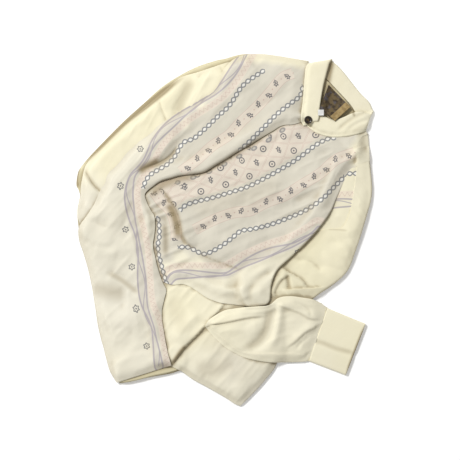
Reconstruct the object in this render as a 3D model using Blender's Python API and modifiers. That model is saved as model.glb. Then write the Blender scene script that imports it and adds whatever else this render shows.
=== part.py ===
"""A mandarin collar shirt in thin cotton, dropped in a loose heap on a flat surface.

Plan sizes are in millimetres: x runs to the right and y away from the viewer who looks straight down.
Each visible panel is a cloth wall lofted between two named lines and laid on the pile under it.
"""

import math

import bpy
import numpy as np

MM = 0.001
WALL = 2.0
BAND_WALL = 2.4
LABEL_WALL = 1.0
AIR = 0.8
ROLL = 6.0
LIFT = 3.2
LIFT_REACH = 34.0
PUFF_FADE = 28.0
CELL = 3.0
MAP_HALF = (360.0, 420.0)
BRIDGE = 12.0
NEAR = 8.0

# Outline of the layers that lie on the surface, clockwise from the shoulder.
FLOOR_OUTLINE = (
    (150, 376), (166, 368), (180, 354), (203, 341), (226, 332), (240, 317), (256, 300),
    (271, 284), (285, 269), (296, 252), (305, 236), (311, 220), (314, 210), (316, 195),
    (318, 175), (320, 150), (324, 110), (325, 90), (323, 70), (318, 50), (309, 20),
    (300, -5), (290, -35), (280, -65), (272, -85), (262, -100), (240, -120), (215, -137),
    (192, -153), (205, -159), (216, -165), (214, -185), (208, -205), (201, -225),
    (195, -245), (189, -262), (183, -276), (176, -290), (160, -291), (140, -291),
    (115, -289), (100, -312), (85, -335), (60, -360), (42, -382), (35, -388), (20, -382),
    (0, -368), (-40, -345), (-60, -334), (-78, -325), (-97, -311), (-120, -317),
    (-160, -324), (-200, -332), (-222, -338), (-232, -340), (-240, -335), (-250, -315),
    (-258, -290), (-265, -260), (-272, -235), (-278, -205), (-283, -175), (-290, -130),
    (-300, -82), (-310, -50), (-320, -20), (-326, 0), (-329, 20), (-330, 40), (-327, 57),
    (-322, 75), (-324, 88), (-329, 100), (-325, 125), (-318, 139), (-300, 161),
    (-260, 203), (-220, 243), (-180, 279), (-140, 315), (-100, 341), (-60, 361),
    (-20, 374), (0, 378), (20, 384), (40, 388), (60, 388), (100, 385), (125, 381),
)
PILE_CENTRE = (0.0, -130.0)

# Rounded edge of the lowest layers: how far in from the outline, and how high.
EDGE_PROFILE = ((1.8, 0.0), (0.5, 0.8), (0.0, 2.0), (0.5, 3.1), (2.0, 3.9), (9.0, 4.1), (12.0, 5.2))
INNER_STEPS = (0.07, 0.17, 0.30, 0.45, 0.62, 0.81)
STACK_HEIGHT = 11.0
STACK_REACH = 70.0

# Swellings of the hidden layers: x, y, radius, height.
SWELLINGS = (
    (30, 70, 110, 4.0),
    (-210, -120, 80, 2.0),
    (60, 330, 70, 2.0),
    (240, -20, 60, 2.5),
    (110, -225, 50, 2.0),
)
NECK_CENTRE = (243, 285)
NECK_HOLLOW = (52.0, 110.0)

# Right sleeve: the line near the outline, then the line under the right front.
SLEEVE_RIGHT = (
    ((28, 375), (60, 335)), ((0, 368), (30, 318)), ((-30, 358), (5, 298)),
    ((-60, 348), (-22, 278)), ((-88, 340), (-50, 258)), ((-106, 331), (-75, 240)),
    ((-140, 301), (-100, 222)), ((-170, 276), (-128, 200)), ((-200, 250), (-150, 180)),
    ((-232, 222), (-172, 158)), ((-262, 193), (-190, 138)), ((-288, 167), (-205, 118)),
    ((-307, 142), (-215, 95)), ((-314, 118), (-222, 72)), ((-316, 95), (-228, 50)),
    ((-314, 72), (-235, 30)), ((-318, 50), (-245, 12)), ((-317, 25), (-255, -5)),
    ((-308, 2), (-262, -22)),
)

# Back: hem, then a line under the fronts.
BACK_HEM = (
    ((-236, -333), (-232, -300)), ((-220, -335), (-212, -290)), ((-190, -328), (-185, -282)),
    ((-160, -321), (-155, -275)), ((-130, -316), (-125, -268)), ((-103, -308), (-95, -272)),
)
BACK_NECK = (
    ((208, 343), (196, 300)), ((229.5, 324.5), (200, 270)), ((247.5, 305.5), (203, 246)),
    ((263.5, 288.5), (222, 238)), ((277.5, 271.5), (245, 232)), ((284.5, 257.5), (262, 236)),
)

# Lower part of the left front: hem, two lines across it, then a line under the upper part.
LEFT_FRONT_LOWER = (
    ((-148, -280), (-150, -225), (-151, -170), (-152, -120)),
    ((-120, -297), (-125, -235), (-127, -170), (-128, -106)),
    ((-97, -308), (-99, -240), (-99, -170), (-98, -102)),
    ((-70, -326), (-67, -255), (-63, -185), (-60, -114)),
    ((-35, -345), (-32, -275), (-28, -200), (-25, -130)),
    ((0, -365), (5, -295), (12, -215), (18, -145)),
    ((20, -378), (42, -315), (62, -235), (62, -150)),
    ((34, -385), (84, -333), (118, -281), (112, -172)),
)

# Left front between the armhole seam and the big fold: under the fold, then the seam.
LEFT_FRONT_SIDE = (
    ((258, 149), (292, 147)), ((245, 120), (290, 122)), ((232, 90), (286, 92)),
    ((220, 62), (281, 62)), ((206, 36), (274, 32)), ((190, 14), (258, 5)),
    ((172, -6), (222, 1)), ((150, -26), (188, -10)),
)

# Upper part of the left sleeve: armhole seam, then the outline.
LEFT_SLEEVE_UPPER = (
    ((292, 147), (317, 148)), ((290, 122), (320, 120)), ((286, 92), (322, 90)),
    ((281, 62), (319, 62)), ((274, 32), (311, 33)), ((258, 5), (303, 6)),
    ((222, 1), (295, -20)), ((188, -10), (286, -46)), ((150, -38), (277, -72)),
    ((118, -66), (268, -90)), ((92, -90), (255, -105)), ((85, -112), (236, -120)),
    ((84, -140), (213, -136)), ((88, -176), (189, -154)),
)

# Left front: placket side, then the fold edge over its own lower part and over the sleeve.
LEFT_FRONT = (
    ((-172, 98), (-132, -118)), ((-150, 122), (-112, -120)), ((-122, 132), (-88, -120)),
    ((-92, 140), (-62, -134)), ((-60, 144), (-38, -150)), ((-30, 158), (-10, -160)),
    ((0, 175), (20, -164)), ((30, 192), (48, -168)), ((62, 210), (75, -168)),
    ((95, 230), (97, -158)), ((128, 245), (102, -120)), ((155, 243), (115, -88)),
    ((179, 229), (145, -60)), ((205, 214), (178, -28)), ((232, 209), (208, 6)),
    ((258, 209), (232, 40)), ((285, 214), (247, 76)), ((298, 218), (264, 112)),
    ((306, 219), (282, 134)), ((311, 217), (301, 147)), ((314, 211), (317, 152)),
)

# Right front: the side, then the inner edge, which folds under from the bend down.
RIGHT_FRONT = (
    ((177, 360), (166, 238)), ((150, 373), (150, 232)), ((115, 380), (125, 229)),
    ((80, 384), (103, 216)), ((45, 382), (78, 201)), ((18, 371), (50, 184)),
    ((-5, 345), (22, 168)), ((-22, 305), (0, 154)), ((-60, 279), (-22, 141)),
    ((-100, 256), (-45, 127)), ((-140, 229), (-72, 122)), ((-167, 207), (-98, 119)),
    ((-192, 188), (-120, 113)), ((-216, 164), (-140, 107)), ((-236, 142), (-156, 97)),
    ((-251, 118), (-168, 82)), ((-263, 92), (-170, 62)), ((-272, 68), (-162, 42)),
    ((-284, 45), (-152, 22)), ((-305, 25), (-147, 0)), ((-320, 2), (-145, -22)),
    ((-318, -22), (-146, -45)), ((-309, -50), (-142, -70)), ((-300, -80), (-136, -92)),
    ((-294, -105), (-130, -112)), ((-289, -130), (-128, -132)), ((-285, -155), (-134, -152)),
    ((-281, -180), (-138, -175)), ((-277, -208), (-138, -198)), ((-271, -235), (-134, -222)),
    ((-264, -260), (-130, -246)), ((-257, -288), (-125, -270)), ((-249, -313), (-120, -288)),
    ((-235, -335), (-118, -298)),
)

# Forearm of the left sleeve: upper edge, then lower edge, from the tip to the cuff.
LEFT_FOREARM = (
    ((-37, -200), (-38, -213)), ((-28, -191), (-24, -234)), ((-5, -181), (-4, -254)),
    ((20, -174), (20, -270)), ((48, -169), (45, -280)), ((75, -166), (72, -285)),
    ((98, -162), (98, -286)), ((118, -150), (122, -287)), ((140, -148), (146, -288)),
    ((166, -151), (162, -288)), ((194, -157), (175, -289)), ((222.2, -171.8), (184.2, -287.6)),
)

# Cuff: seam corner and end corner of the upper fold, then of the lower fold.
CUFF_CORNERS = ((223, -172), (310, -207), (185, -288), (266, -320))
CUFF_HEIGHT = 8.6
CUFF_ROUND = 4.2

# Large folds, each a line on the plan with its height and half width. Troughs are negative.
RIGHT_SLEEVE_FOLDS = (
    (-2.0, 14, ((-80, 335), (-85, 305), (-105, 270))),
    (2.2, 16, ((-300, 120), (-270, 160), (-215, 215), (-150, 268))),
)
RIGHT_FRONT_FOLDS = (
    (-3.5, 10, ((-195, 125), (-175, 136), (-150, 141), (-130, 150), (-110, 170))),
    (-5.0, 9, ((-172, 10), (-165, -20), (-160, -50), (-152, -80), (-143, -108))),
    (3.0, 12, ((-178, 95), (-162, 50), (-152, 10), (-152, -40), (-140, -95))),
    (3.5, 14, ((90, 232), (40, 200), (-10, 172), (-60, 146), (-120, 135))),
    (2.5, 26, ((120, 340), (40, 285), (-30, 225), (-90, 175))),
    (-2.0, 22, ((-262, -95), (-232, -108), (-205, -135))),
    (-2.0, 22, ((-278, -178), (-250, -160), (-225, -150))),
    (2.2, 24, ((-235, 60), (-240, -20), (-225, -80))),
)
LEFT_FRONT_FOLDS = (
    (-7.0, 13, ((-150, 92), (-130, 70), (-115, 45), (-108, 20), (-106, -8), (-98, -30))),
    (3.5, 13, ((-92, 60), (-84, 25), (-84, -10), (-66, -32))),
    (4.0, 30, ((-40, 40), (40, 60), (120, 85), (200, 120))),
    (-2.5, 20, ((-60, -30), (-20, -62), (30, -78))),
    (3.0, 22, ((240, 150), (225, 90), (190, 40), (140, -10), (100, -50))),
    (-3.0, 9, ((60, -118), (54, -135), (58, -155))),
    (2.0, 16, ((-100, -105), (-40, -120), (20, -135))),
)
LEFT_LOWER_FOLDS = (
    (-6.0, 10, ((-30, -198), (-60, -230), (-90, -258), (-112, -290))),
    (4.0, 16, ((-60, -180), (-85, -210), (-110, -245))),
    (-2.0, 18, ((-60, -318), (-20, -313), (10, -300), (40, -285))),
)
LEFT_SLEEVE_FOLDS = (
    (3.5, 12, ((125, -84), (150, -94), (170, -112))),
    (-3.0, 8, ((140, -98), (138, -124), (170, -126), (205, -124))),
    (2.5, 10, ((130, -138), (160, -139), (200, -140))),
    (2.0, 26, ((300, 60), (280, 0), (250, -60))),
)
FOREARM_FOLDS = (
    (-4.0, 12, ((105, -175), (102, -205), (92, -232), (70, -252), (35, -256))),
    (-2.0, 12, ((-28, -208), (15, -203), (60, -197), (92, -194))),
    (2.5, 12, ((112, -162), (130, -176), (165, -184), (195, -188))),
    (2.2, 12, ((200, -222), (172, -232), (150, -250))),
)

# Collar stand, from the buttoned end round the neck to the end under it:
# seam line x, y and height, then free edge x, y and height.
COLLAR = (
    (172, 229, 18.6, 201, 233, 18.2),
    (167, 243, 18.6, 206, 246, 18.2),
    (168, 262, 18.4, 208, 268, 17.4),
    (171, 285, 17.4, 211, 290, 16.4),
    (173, 310, 16.2, 215, 312, 15.6),
    (175, 335, 15.2, 221, 336, 14.4),
    (177, 354, 14.0, 227, 357, 12.2),
    (180, 363, 12.4, 231, 369, 10.2),
    (183, 366, 10.0, 236, 376, 6.4),
    (188, 362, 7.6, 238, 371, 2.6),
    (208, 345, 7.4, 249, 362, 1.8),
    (229, 327, 8.4, 265, 344, 1.6),
    (247, 308, 8.6, 282, 322, 1.6),
    (263, 291, 8.6, 300, 300, 1.6),
    (277, 275, 8.6, 317, 283, 1.8),
    (287, 260, 8.6, 324, 268, 2.4),
    (299, 240, 8.4, 327, 262, 5.0),
    (311, 226, 10.8, 322, 256, 9.2),
    (308, 217, 14.2, 312, 256, 13.0),
    (292, 211, 15.0, 300, 260, 14.4),
    (270, 206, 15.2, 283, 258, 14.4),
    (246, 204, 15.2, 258, 247, 14.2),
    (224, 206, 15.0, 238, 242, 14.2),
    (202, 213, 14.8, 220, 249, 14.0),
    (190, 221, 14.6, 204, 253, 13.8),
    (181, 229, 14.4, 193, 256, 13.6),
)
COLLAR_BUTTON = (184, 242)
BUTTON_RADIUS = 8.8
BUTTON_THICK = 3.2
BUTTON_SEAT = 20.2
LABEL_CORNERS = ((226, 314), (271, 270), (240, 243), (209, 268))


def spline(points, places):
    """Points on a smooth curve through the given ones, at fractional places along them."""
    points = np.asarray(points, float)
    slopes = np.empty_like(points)
    slopes[1:-1] = (points[2:] - points[:-2]) / 2
    slopes[0] = points[1] - points[0]
    slopes[-1] = points[-1] - points[-2]
    first = np.clip(np.floor(places).astype(int), 0, len(points) - 2)
    t = (places - first).reshape((-1,) + (1,) * (points.ndim - 1))
    a, b = points[first], points[first + 1]
    m, n = slopes[first], slopes[first + 1]
    t2, t3 = t * t, t * t * t
    return (2 * t3 - 3 * t2 + 1) * a + (t3 - 2 * t2 + t) * m + (3 * t2 - 2 * t3) * b + (t3 - t2) * n


def distance_to_line(x, y, line):
    """Distance on the plan from each point to a line, and the share of the line passed there."""
    nearest = np.full(x.shape, 1e9)
    share = np.zeros(x.shape)
    ends = np.asarray(line, float)
    lengths = np.hypot(*(ends[1:] - ends[:-1]).T)
    before = np.concatenate([[0.0], np.cumsum(lengths)])
    for a, b, start, length in zip(ends, ends[1:], before, lengths):
        along = ((x - a[0]) * (b[0] - a[0]) + (y - a[1]) * (b[1] - a[1])) / length**2
        along = np.clip(along, 0, 1)
        gap = np.hypot(x - a[0] - along * (b[0] - a[0]), y - a[1] - along * (b[1] - a[1]))
        share = np.where(gap < nearest, (start + along * length) / before[-1], share)
        nearest = np.minimum(nearest, gap)
    return nearest, share


def fold_heights(x, y, folds):
    """Sum of the soft ridges and troughs, each fading out at its two ends."""
    total = np.zeros(x.shape)
    for height, width, line in folds:
        gap, share = distance_to_line(x, y, line)
        fade = np.clip(np.minimum(share, 1 - share) * 6 + 0.25, 0, 1)
        total += height * fade * np.exp(-((gap / width) ** 2))
    return total


def widened(heights, reach):
    """The highest value within a reach on the map, then blurred a little."""
    cells = max(1, int(round(reach / CELL)))
    best = heights.copy()
    for axis in (0, 1):
        source = best.copy()
        for step in range(1, cells + 1):
            best = np.maximum(best, np.roll(source, step, axis))
            best = np.maximum(best, np.roll(source, -step, axis))
    for axis in (0, 1):
        for _ in range(max(1, cells // 2)):
            best = (np.roll(best, 1, axis) + np.roll(best, -1, axis) + 2 * best) / 4
    return best


class Pile:
    """Height of what already lies there, on a square map of the plan."""

    def __init__(self):
        self.size = [int(2 * half / CELL) + 1 for half in MAP_HALF]
        self.heights = np.zeros(self.size)
        self.refresh()

    def refresh(self):
        self.bridged = widened(self.heights, BRIDGE)
        self.close = widened(self.heights, NEAR)

    def look(self, heights, x, y):
        i = np.clip((x + MAP_HALF[0]) / CELL, 0, self.size[0] - 1.001)
        j = np.clip((y + MAP_HALF[1]) / CELL, 0, self.size[1] - 1.001)
        a, b = i.astype(int), j.astype(int)
        s, t = i - a, j - b
        low = heights[a, b] * (1 - s) + heights[a + 1, b] * s
        high = heights[a, b + 1] * (1 - s) + heights[a + 1, b + 1] * s
        return low * (1 - t) + high * t

    def add(self, grid):
        """Adds a surface given as rows of points."""
        steps = np.linspace(0, 1, 7)
        for s in steps:
            for t in steps:
                near = grid[:-1] * (1 - s) + grid[1:] * s
                dense = near[:, :-1] * (1 - t) + near[:, 1:] * t
                i = np.round((dense[..., 0] + MAP_HALF[0]) / CELL).astype(int)
                j = np.round((dense[..., 1] + MAP_HALF[1]) / CELL).astype(int)
                i = np.clip(i, 0, self.size[0] - 1)
                j = np.clip(j, 0, self.size[1] - 1)
                np.maximum.at(self.heights, (i, j), dense[..., 2])
        self.refresh()


def steps_across(length, near_start, near_end, spacing):
    """Places along a length, close together over a curled edge."""
    curl = [ROLL * (1 - math.cos(math.radians(a))) for a in (0, 28, 58, 90)]
    start = curl if near_start else [0.0]
    end = curl if near_end else [0.0]
    inner = length - start[-1] - end[-1]
    count = max(1, int(round(inner / spacing)))
    middle = [start[-1] + inner * k / count for k in range(1, count)]
    return start + middle + [length - value for value in reversed(end)]


def lay_panel(pile, table, spacing, across, folds, curled="", puff=0.0, sink=0.0):
    """Points of a panel's upper side, laid on the pile. Curled names the sides that fold down."""
    table = np.asarray(table, float)
    rows = len(table)
    fine = spline(table.transpose(1, 0, 2).mean(axis=0), np.linspace(0, rows - 1, 40 * rows))
    run = np.concatenate([[0.0], np.cumsum(np.hypot(*(fine[1:] - fine[:-1]).T))])
    wanted = steps_across(run[-1], "first" in curled, "last" in curled, spacing)
    places = np.interp(wanted, run, np.linspace(0, rows - 1, 40 * rows))
    lines = spline(table, places)
    counts = np.asarray(
        steps_across(1000.0, False, False, 1000.0 / across), float
    ) / 1000.0
    grid = np.zeros((len(places), 0, 2))
    columns = []
    for line in lines:
        track = spline(line, np.linspace(0, len(line) - 1, 120))
        passed = np.concatenate([[0.0], np.cumsum(np.hypot(*(track[1:] - track[:-1]).T))])
        width = passed[-1]
        left = ROLL if "near" in curled else 0.0
        right = ROLL if "far" in curled else 0.0
        reach = min(1.0, 0.4 * width / max(ROLL, 1e-6))
        left, right = left * reach, right * reach
        at = [left + (width - left - right) * c for c in counts]
        if left:
            at = [left * (1 - math.cos(math.radians(a))) for a in (0, 28, 58)] + at
        if right:
            at = at + [width - right * (1 - math.cos(math.radians(a))) for a in (58, 28, 0)]
        columns.append([[np.interp(v, passed, track[:, k]) for k in (0, 1)] for v in at])
    grid = np.asarray(columns)
    x, y = grid[..., 0], grid[..., 1]
    top = pile.look(pile.bridged, x, y) + AIR + WALL - sink
    borders = {
        "near": grid[:, 0], "far": grid[:, -1], "first": grid[0], "last": grid[-1],
    }
    rounded = np.ones(x.shape)
    raised = np.full(x.shape, puff)
    for side, border in borders.items():
        gap, _ = distance_to_line(x, y, border)
        if side in curled.split():
            rounded = rounded * np.sqrt(1 - (1 - np.clip(gap / ROLL, 0, 1)) ** 2)
            raised = np.maximum(raised, LIFT * np.exp(-((gap / LIFT_REACH) ** 2)))
        else:
            raised = raised * np.clip(gap / PUFF_FADE, 0, 1)
    relief = fold_heights(x, y, folds)
    top = top + np.maximum(raised + relief, 0.0)
    edge = pile.look(pile.close, x, y) + AIR
    z = edge + (top - edge) * rounded
    return np.dstack([x, y, z])


def new_object(name, points, faces, material, collection):
    mesh = bpy.data.meshes.new(name)
    mesh.from_pydata([tuple(p * MM for p in point) for point in points], [], faces)
    mesh.update()
    made = bpy.data.objects.new(name, mesh)
    collection.objects.link(made)
    mesh.materials.append(material)
    for polygon in mesh.polygons:
        polygon.use_smooth = True
    return made


def grid_faces(rows, columns, closed=False):
    """Faces of a grid of points, counterclockwise seen from above."""
    faces = []
    for i in range(rows - 1):
        for j in range(columns if closed else columns - 1):
            k = (j + 1) % columns
            faces.append((i * columns + j, i * columns + k, (i + 1) * columns + k, (i + 1) * columns + j))
    return faces


def cloth_object(name, grid, wall, material, collection, offset=-1.0):
    """A panel as a wall of even thickness under its upper side."""
    rows, columns = grid.shape[:2]
    across = grid[0, 1] - grid[0, 0]
    along = grid[1, 0] - grid[0, 0]
    middle = grid[rows // 2, columns // 2]
    across = grid[rows // 2, columns // 2 + 1] - middle if columns > 2 else across
    along = grid[rows // 2 + 1, columns // 2] - middle if rows > 2 else along
    faces = grid_faces(rows, columns)
    if across[0] * along[1] - across[1] * along[0] < 0:
        faces = [tuple(reversed(face)) for face in faces]
    made = new_object(name, grid.reshape(-1, 3), faces, material, collection)
    solid = made.modifiers.new("Wall", "SOLIDIFY")
    solid.thickness = wall * MM
    solid.offset = offset
    solid.use_even_offset = False
    solid.use_quality_normals = True
    return made


def make_material(name, colour, roughness):
    material = bpy.data.materials.new(name)
    material.use_nodes = True
    shader = material.node_tree.nodes["Principled BSDF"]
    shader.inputs["Base Color"].default_value = (*colour, 1.0)
    shader.inputs["Roughness"].default_value = roughness
    shader.inputs["Metallic"].default_value = 0.0
    return material


def hidden_layers(pile, material, collection):
    """One rounded solid for all that is folded away, with a flat underside."""
    outline = np.asarray(FLOOR_OUTLINE, float)
    centre = np.asarray(PILE_CENTRE)
    spokes = outline - centre
    radius = np.hypot(*spokes.T)
    rings = []
    for inset, height in EDGE_PROFILE:
        ring = centre + spokes * (1 - inset / radius)[:, None]
        rings.append(np.column_stack([ring, np.full(len(ring), height)]))
    last = EDGE_PROFILE[-1]
    for share in INNER_STEPS:
        ring = centre + spokes * ((1 - last[0] / radius) * (1 - share))[:, None]
        x, y = ring.T
        gap, _ = distance_to_line(x, y, outline)
        height = last[1] + (STACK_HEIGHT - last[1]) * (1 - np.exp(-gap / STACK_REACH * 2))
        rings.append(np.column_stack([ring, height + swelling(x, y)]))
    for ring in rings[len(EDGE_PROFILE):]:
        x, y = ring[:, 0], ring[:, 1]
        away = np.hypot(x - NECK_CENTRE[0], y - NECK_CENTRE[1])
        share = np.clip((away - NECK_HOLLOW[0]) / (NECK_HOLLOW[1] - NECK_HOLLOW[0]), 0, 1)
        share = share * share * (3 - 2 * share)
        ring[:, 2] = last[1] + (ring[:, 2] - last[1]) * share
    grid = np.asarray(rings)
    count = len(outline)
    points = list(grid.reshape(-1, 3))
    faces = [tuple(reversed(face)) for face in grid_faces(len(rings), count, closed=True)]
    top = len(points)
    points.append(np.array([*centre, grid[-1, :, 2].mean()]))
    points.append(np.array([*centre, 0.0]))
    inner = (len(rings) - 1) * count
    for j in range(count):
        k = (j + 1) % count
        faces.append((inner + k, inner + j, top))
        faces.append((j, k, top + 1))
    middle = np.repeat(points[top][None, None], count, axis=1)
    covered = np.concatenate([grid, middle], axis=0)
    pile.add(np.concatenate([covered, covered[:, :1]], axis=1))
    return new_object("hidden_layers", points, faces, material, collection)


def swelling(x, y):
    total = np.zeros(x.shape)
    for cx, cy, reach, height in SWELLINGS:
        total += height * np.exp(-((np.hypot(x - cx, y - cy) / reach) ** 2))
    return total


def cuff(material, collection):
    """A flattened tube, open at both ends, with rounded folds along its two edges."""
    a, b, c, d = (np.array(corner, float) for corner in CUFF_CORNERS)
    sections = []
    for wall in (0.0, BAND_WALL):
        for share in (0.0, 0.35, 0.7, 1.0):
            upper, lower = a + (b - a) * share, c + (d - c) * share
            width = np.hypot(*(upper - lower))
            across = (lower - upper) / width
            ring = []
            side = CUFF_ROUND - wall
            half = CUFF_HEIGHT / 2 - wall
            runs = [CUFF_ROUND + (width - 2 * CUFF_ROUND) * k / 6 for k in range(7)]
            for run in runs:
                ring.append((run, half))
            for angle in (60, 30, 0, -30, -60):
                turn = math.radians(angle)
                ring.append((width - CUFF_ROUND + side * math.cos(turn), half * math.sin(turn)))
            for run in reversed(runs):
                ring.append((run, -half))
            for angle in (-60, -30, 0, 30, 60):
                turn = math.radians(angle)
                ring.append((CUFF_ROUND - side * math.cos(turn), half * math.sin(turn)))
            for run, height in ring:
                sections.append((*(upper + across * run), height + CUFF_HEIGHT / 2))
    count = len(sections) // 8
    faces = grid_faces(4, count, closed=True)
    inner = [tuple(v + 4 * count for v in reversed(face)) for face in faces]
    for j in range(count):
        k = (j + 1) % count
        faces.append((k, j, j + 4 * count, k + 4 * count))
        faces.append((3 * count + j, 3 * count + k, k + 7 * count, j + 7 * count))
    points = [np.array(point) for point in sections]
    made = new_object("cuff_left", points, faces + inner, material, collection)
    face_outward(made)
    return made


def face_outward(made):
    """Turns all faces round if the body is inside out."""
    points = np.array([vertex.co[:] for vertex in made.data.vertices])
    volume = 0.0
    for polygon in made.data.polygons:
        corners = points[list(polygon.vertices)]
        for k in range(1, len(corners) - 1):
            volume += np.dot(corners[0], np.cross(corners[k], corners[k + 1]))
    if volume < 0:
        made.data.flip_normals()


def collar(material, collection):
    table = np.asarray(COLLAR, float).reshape(len(COLLAR), 2, 3)
    places = np.linspace(0, len(COLLAR) - 1, 2 * len(COLLAR) - 1)
    lines = spline(table, places)
    shares = np.array([0.0, 0.12, 0.5, 0.88, 1.0])[None, :, None]
    grid = lines[:, :1] * (1 - shares) + lines[:, 1:] * shares
    return cloth_object("collar", grid, BAND_WALL, material, collection, offset=0.0)


def button(height, material, collection):
    """A flat round button with a raised rim, turned from its half section."""
    section = (
        (0.0, 0.0), (7.0, 0.0), (8.4, 0.6), (BUTTON_RADIUS, 1.6), (8.4, 2.7),
        (7.4, BUTTON_THICK), (6.0, 2.8), (5.2, 2.2), (0.0, 2.2),
    )
    count = 28
    points, faces = [], []
    x, y = COLLAR_BUTTON
    for radius, rise in section[1:-1]:
        for k in range(count):
            turn = 2 * math.pi * k / count
            points.append(np.array([x + radius * math.cos(turn), y + radius * math.sin(turn), height + rise]))
    faces = grid_faces(len(section) - 2, count, closed=True)
    points.append(np.array([x, y, height]))
    points.append(np.array([x, y, height + section[-1][1]]))
    last = (len(section) - 3) * count
    for k in range(count):
        j = (k + 1) % count
        faces.append((j, k, len(points) - 2))
        faces.append((last + k, last + j, len(points) - 1))
    made = new_object("button", points, faces, material, collection)
    face_outward(made)
    return made


def centre_on_floor(objects):
    """Moves all pieces so that the box's centre is over the origin and the lowest point is at 0."""
    low = np.full(3, 1e9)
    high = -low
    bpy.context.view_layer.update()
    graph = bpy.context.evaluated_depsgraph_get()
    for made in objects:
        shape = made.evaluated_get(graph).to_mesh()
        points = np.array([vertex.co[:] for vertex in shape.vertices])
        low, high = np.minimum(low, points.min(0)), np.maximum(high, points.max(0))
        made.evaluated_get(graph).to_mesh_clear()
    shift = (-(low[0] + high[0]) / 2, -(low[1] + high[1]) / 2, -low[2])
    for made in objects:
        for vertex in made.data.vertices:
            vertex.co = [value + move for value, move in zip(vertex.co, shift)]
    return shift


def main():
    for old in list(bpy.data.objects):
        bpy.data.objects.remove(old)
    collection = bpy.data.collections.new("mandarin collar shirt")
    bpy.context.scene.collection.children.link(collection)
    cloth = make_material("ivory cotton", (0.86, 0.82, 0.68), 0.85)
    printed = make_material("printed cotton", (0.80, 0.77, 0.68), 0.85)
    inside = make_material("cotton inside", (0.62, 0.56, 0.38), 0.9)
    dark = make_material("dark button", (0.03, 0.025, 0.02), 0.35)
    woven = make_material("woven label", (0.20, 0.14, 0.07), 0.7)

    pile = Pile()
    made = [hidden_layers(pile, inside, collection)]

    def lay(name, table, spacing, across, folds, curled, material, puff=0.0):
        grid = lay_panel(pile, table, spacing, across, folds, curled, puff)
        pile.add(grid)
        made.append(cloth_object(name, grid, WALL, material, collection))

    lay("back", BACK_HEM, 20, 2, (), "", inside)
    lay("back_neck", BACK_NECK, 20, 3, (), "", inside)
    lay("sleeve_right", SLEEVE_RIGHT, 20, 5, RIGHT_SLEEVE_FOLDS, "near", cloth, 3.0)
    lay("front_left_lower", LEFT_FRONT_LOWER, 18, 11, LEFT_LOWER_FOLDS, "near last", cloth, 5.0)
    lay("front_left_side", LEFT_FRONT_SIDE, 20, 3, (), "", printed)
    lay("sleeve_left_upper", LEFT_SLEEVE_UPPER, 18, 8, LEFT_SLEEVE_FOLDS, "far", cloth, 4.0)
    lay("front_left", LEFT_FRONT, 18, 14, LEFT_FRONT_FOLDS, "far last", printed, 5.0)
    lay("sleeve_left_lower", LEFT_FOREARM, 16, 9, FOREARM_FOLDS, "near far first", cloth, 4.0)
    lay("front_right", RIGHT_FRONT, 19, 9, RIGHT_FRONT_FOLDS, "near far last", printed, 4.0)
    made.append(cuff(cloth, collection))
    made.append(collar(cloth, collection))
    made.append(button(BUTTON_SEAT, dark, collection))
    corners = np.asarray(LABEL_CORNERS, float)
    label_grid = lay_panel(
        pile, ((corners[0], corners[1]), (corners[3], corners[2])), 18, 4, (), "", sink=WALL - LABEL_WALL
    )
    made.append(cloth_object("label", label_grid, LABEL_WALL, woven, collection))
    centre_on_floor(made)


main()
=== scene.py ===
import math

import bmesh
import bpy
import numpy as np
from mathutils import Matrix


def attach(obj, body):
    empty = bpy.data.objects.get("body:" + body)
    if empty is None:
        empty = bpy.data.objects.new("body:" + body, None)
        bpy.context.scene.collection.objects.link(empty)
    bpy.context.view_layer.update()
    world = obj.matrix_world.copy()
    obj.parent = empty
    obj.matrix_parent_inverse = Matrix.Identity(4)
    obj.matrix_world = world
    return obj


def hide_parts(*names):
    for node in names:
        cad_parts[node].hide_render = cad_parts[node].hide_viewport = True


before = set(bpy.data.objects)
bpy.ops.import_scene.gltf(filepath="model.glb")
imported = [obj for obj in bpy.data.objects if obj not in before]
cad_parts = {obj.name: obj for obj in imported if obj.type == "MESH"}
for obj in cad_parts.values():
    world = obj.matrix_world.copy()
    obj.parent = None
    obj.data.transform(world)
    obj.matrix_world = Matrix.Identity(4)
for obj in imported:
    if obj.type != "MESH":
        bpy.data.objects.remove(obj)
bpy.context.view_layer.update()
# sizes are in millimetres unless a note says metres, x to the right and y up in the camera's view
mm = 0.001
scene = bpy.context.scene
scene.view_settings.view_transform = "Standard"
print("frame loaded")


def smoothCurve(points, places):
    # the curve through all the points, at places counted in points from the first
    points = np.asarray(points, float)
    slopes = np.empty_like(points)
    slopes[1:-1] = (points[2:] - points[:-2]) / 2
    slopes[0] = points[1] - points[0]
    slopes[-1] = points[-1] - points[-2]
    first = np.clip(np.floor(places).astype(int), 0, len(points) - 2)
    t = (places - first).reshape((-1,) + (1,) * (points.ndim - 1))
    a, b, m, n = points[first], points[first + 1], slopes[first], slopes[first + 1]
    start = (2 * t**3 - 3 * t**2 + 1) * a + (t**3 - 2 * t**2 + t) * m
    return start + (3 * t**2 - 2 * t**3) * b + (t**3 - t**2) * n


def evenCurve(points, gap):
    # the smooth curve through the points, at even steps of about gap
    fine = smoothCurve(points, np.linspace(0, len(points) - 1, 30 * len(points)))
    run = np.concatenate([[0.0], np.cumsum(np.hypot(*(fine[1:] - fine[:-1])[:, :2].T))])
    at = np.linspace(0, run[-1], max(2, int(round(run[-1] / gap)) + 1))
    return np.column_stack([np.interp(at, run, fine[:, k]) for k in range(fine.shape[1])])


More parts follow.
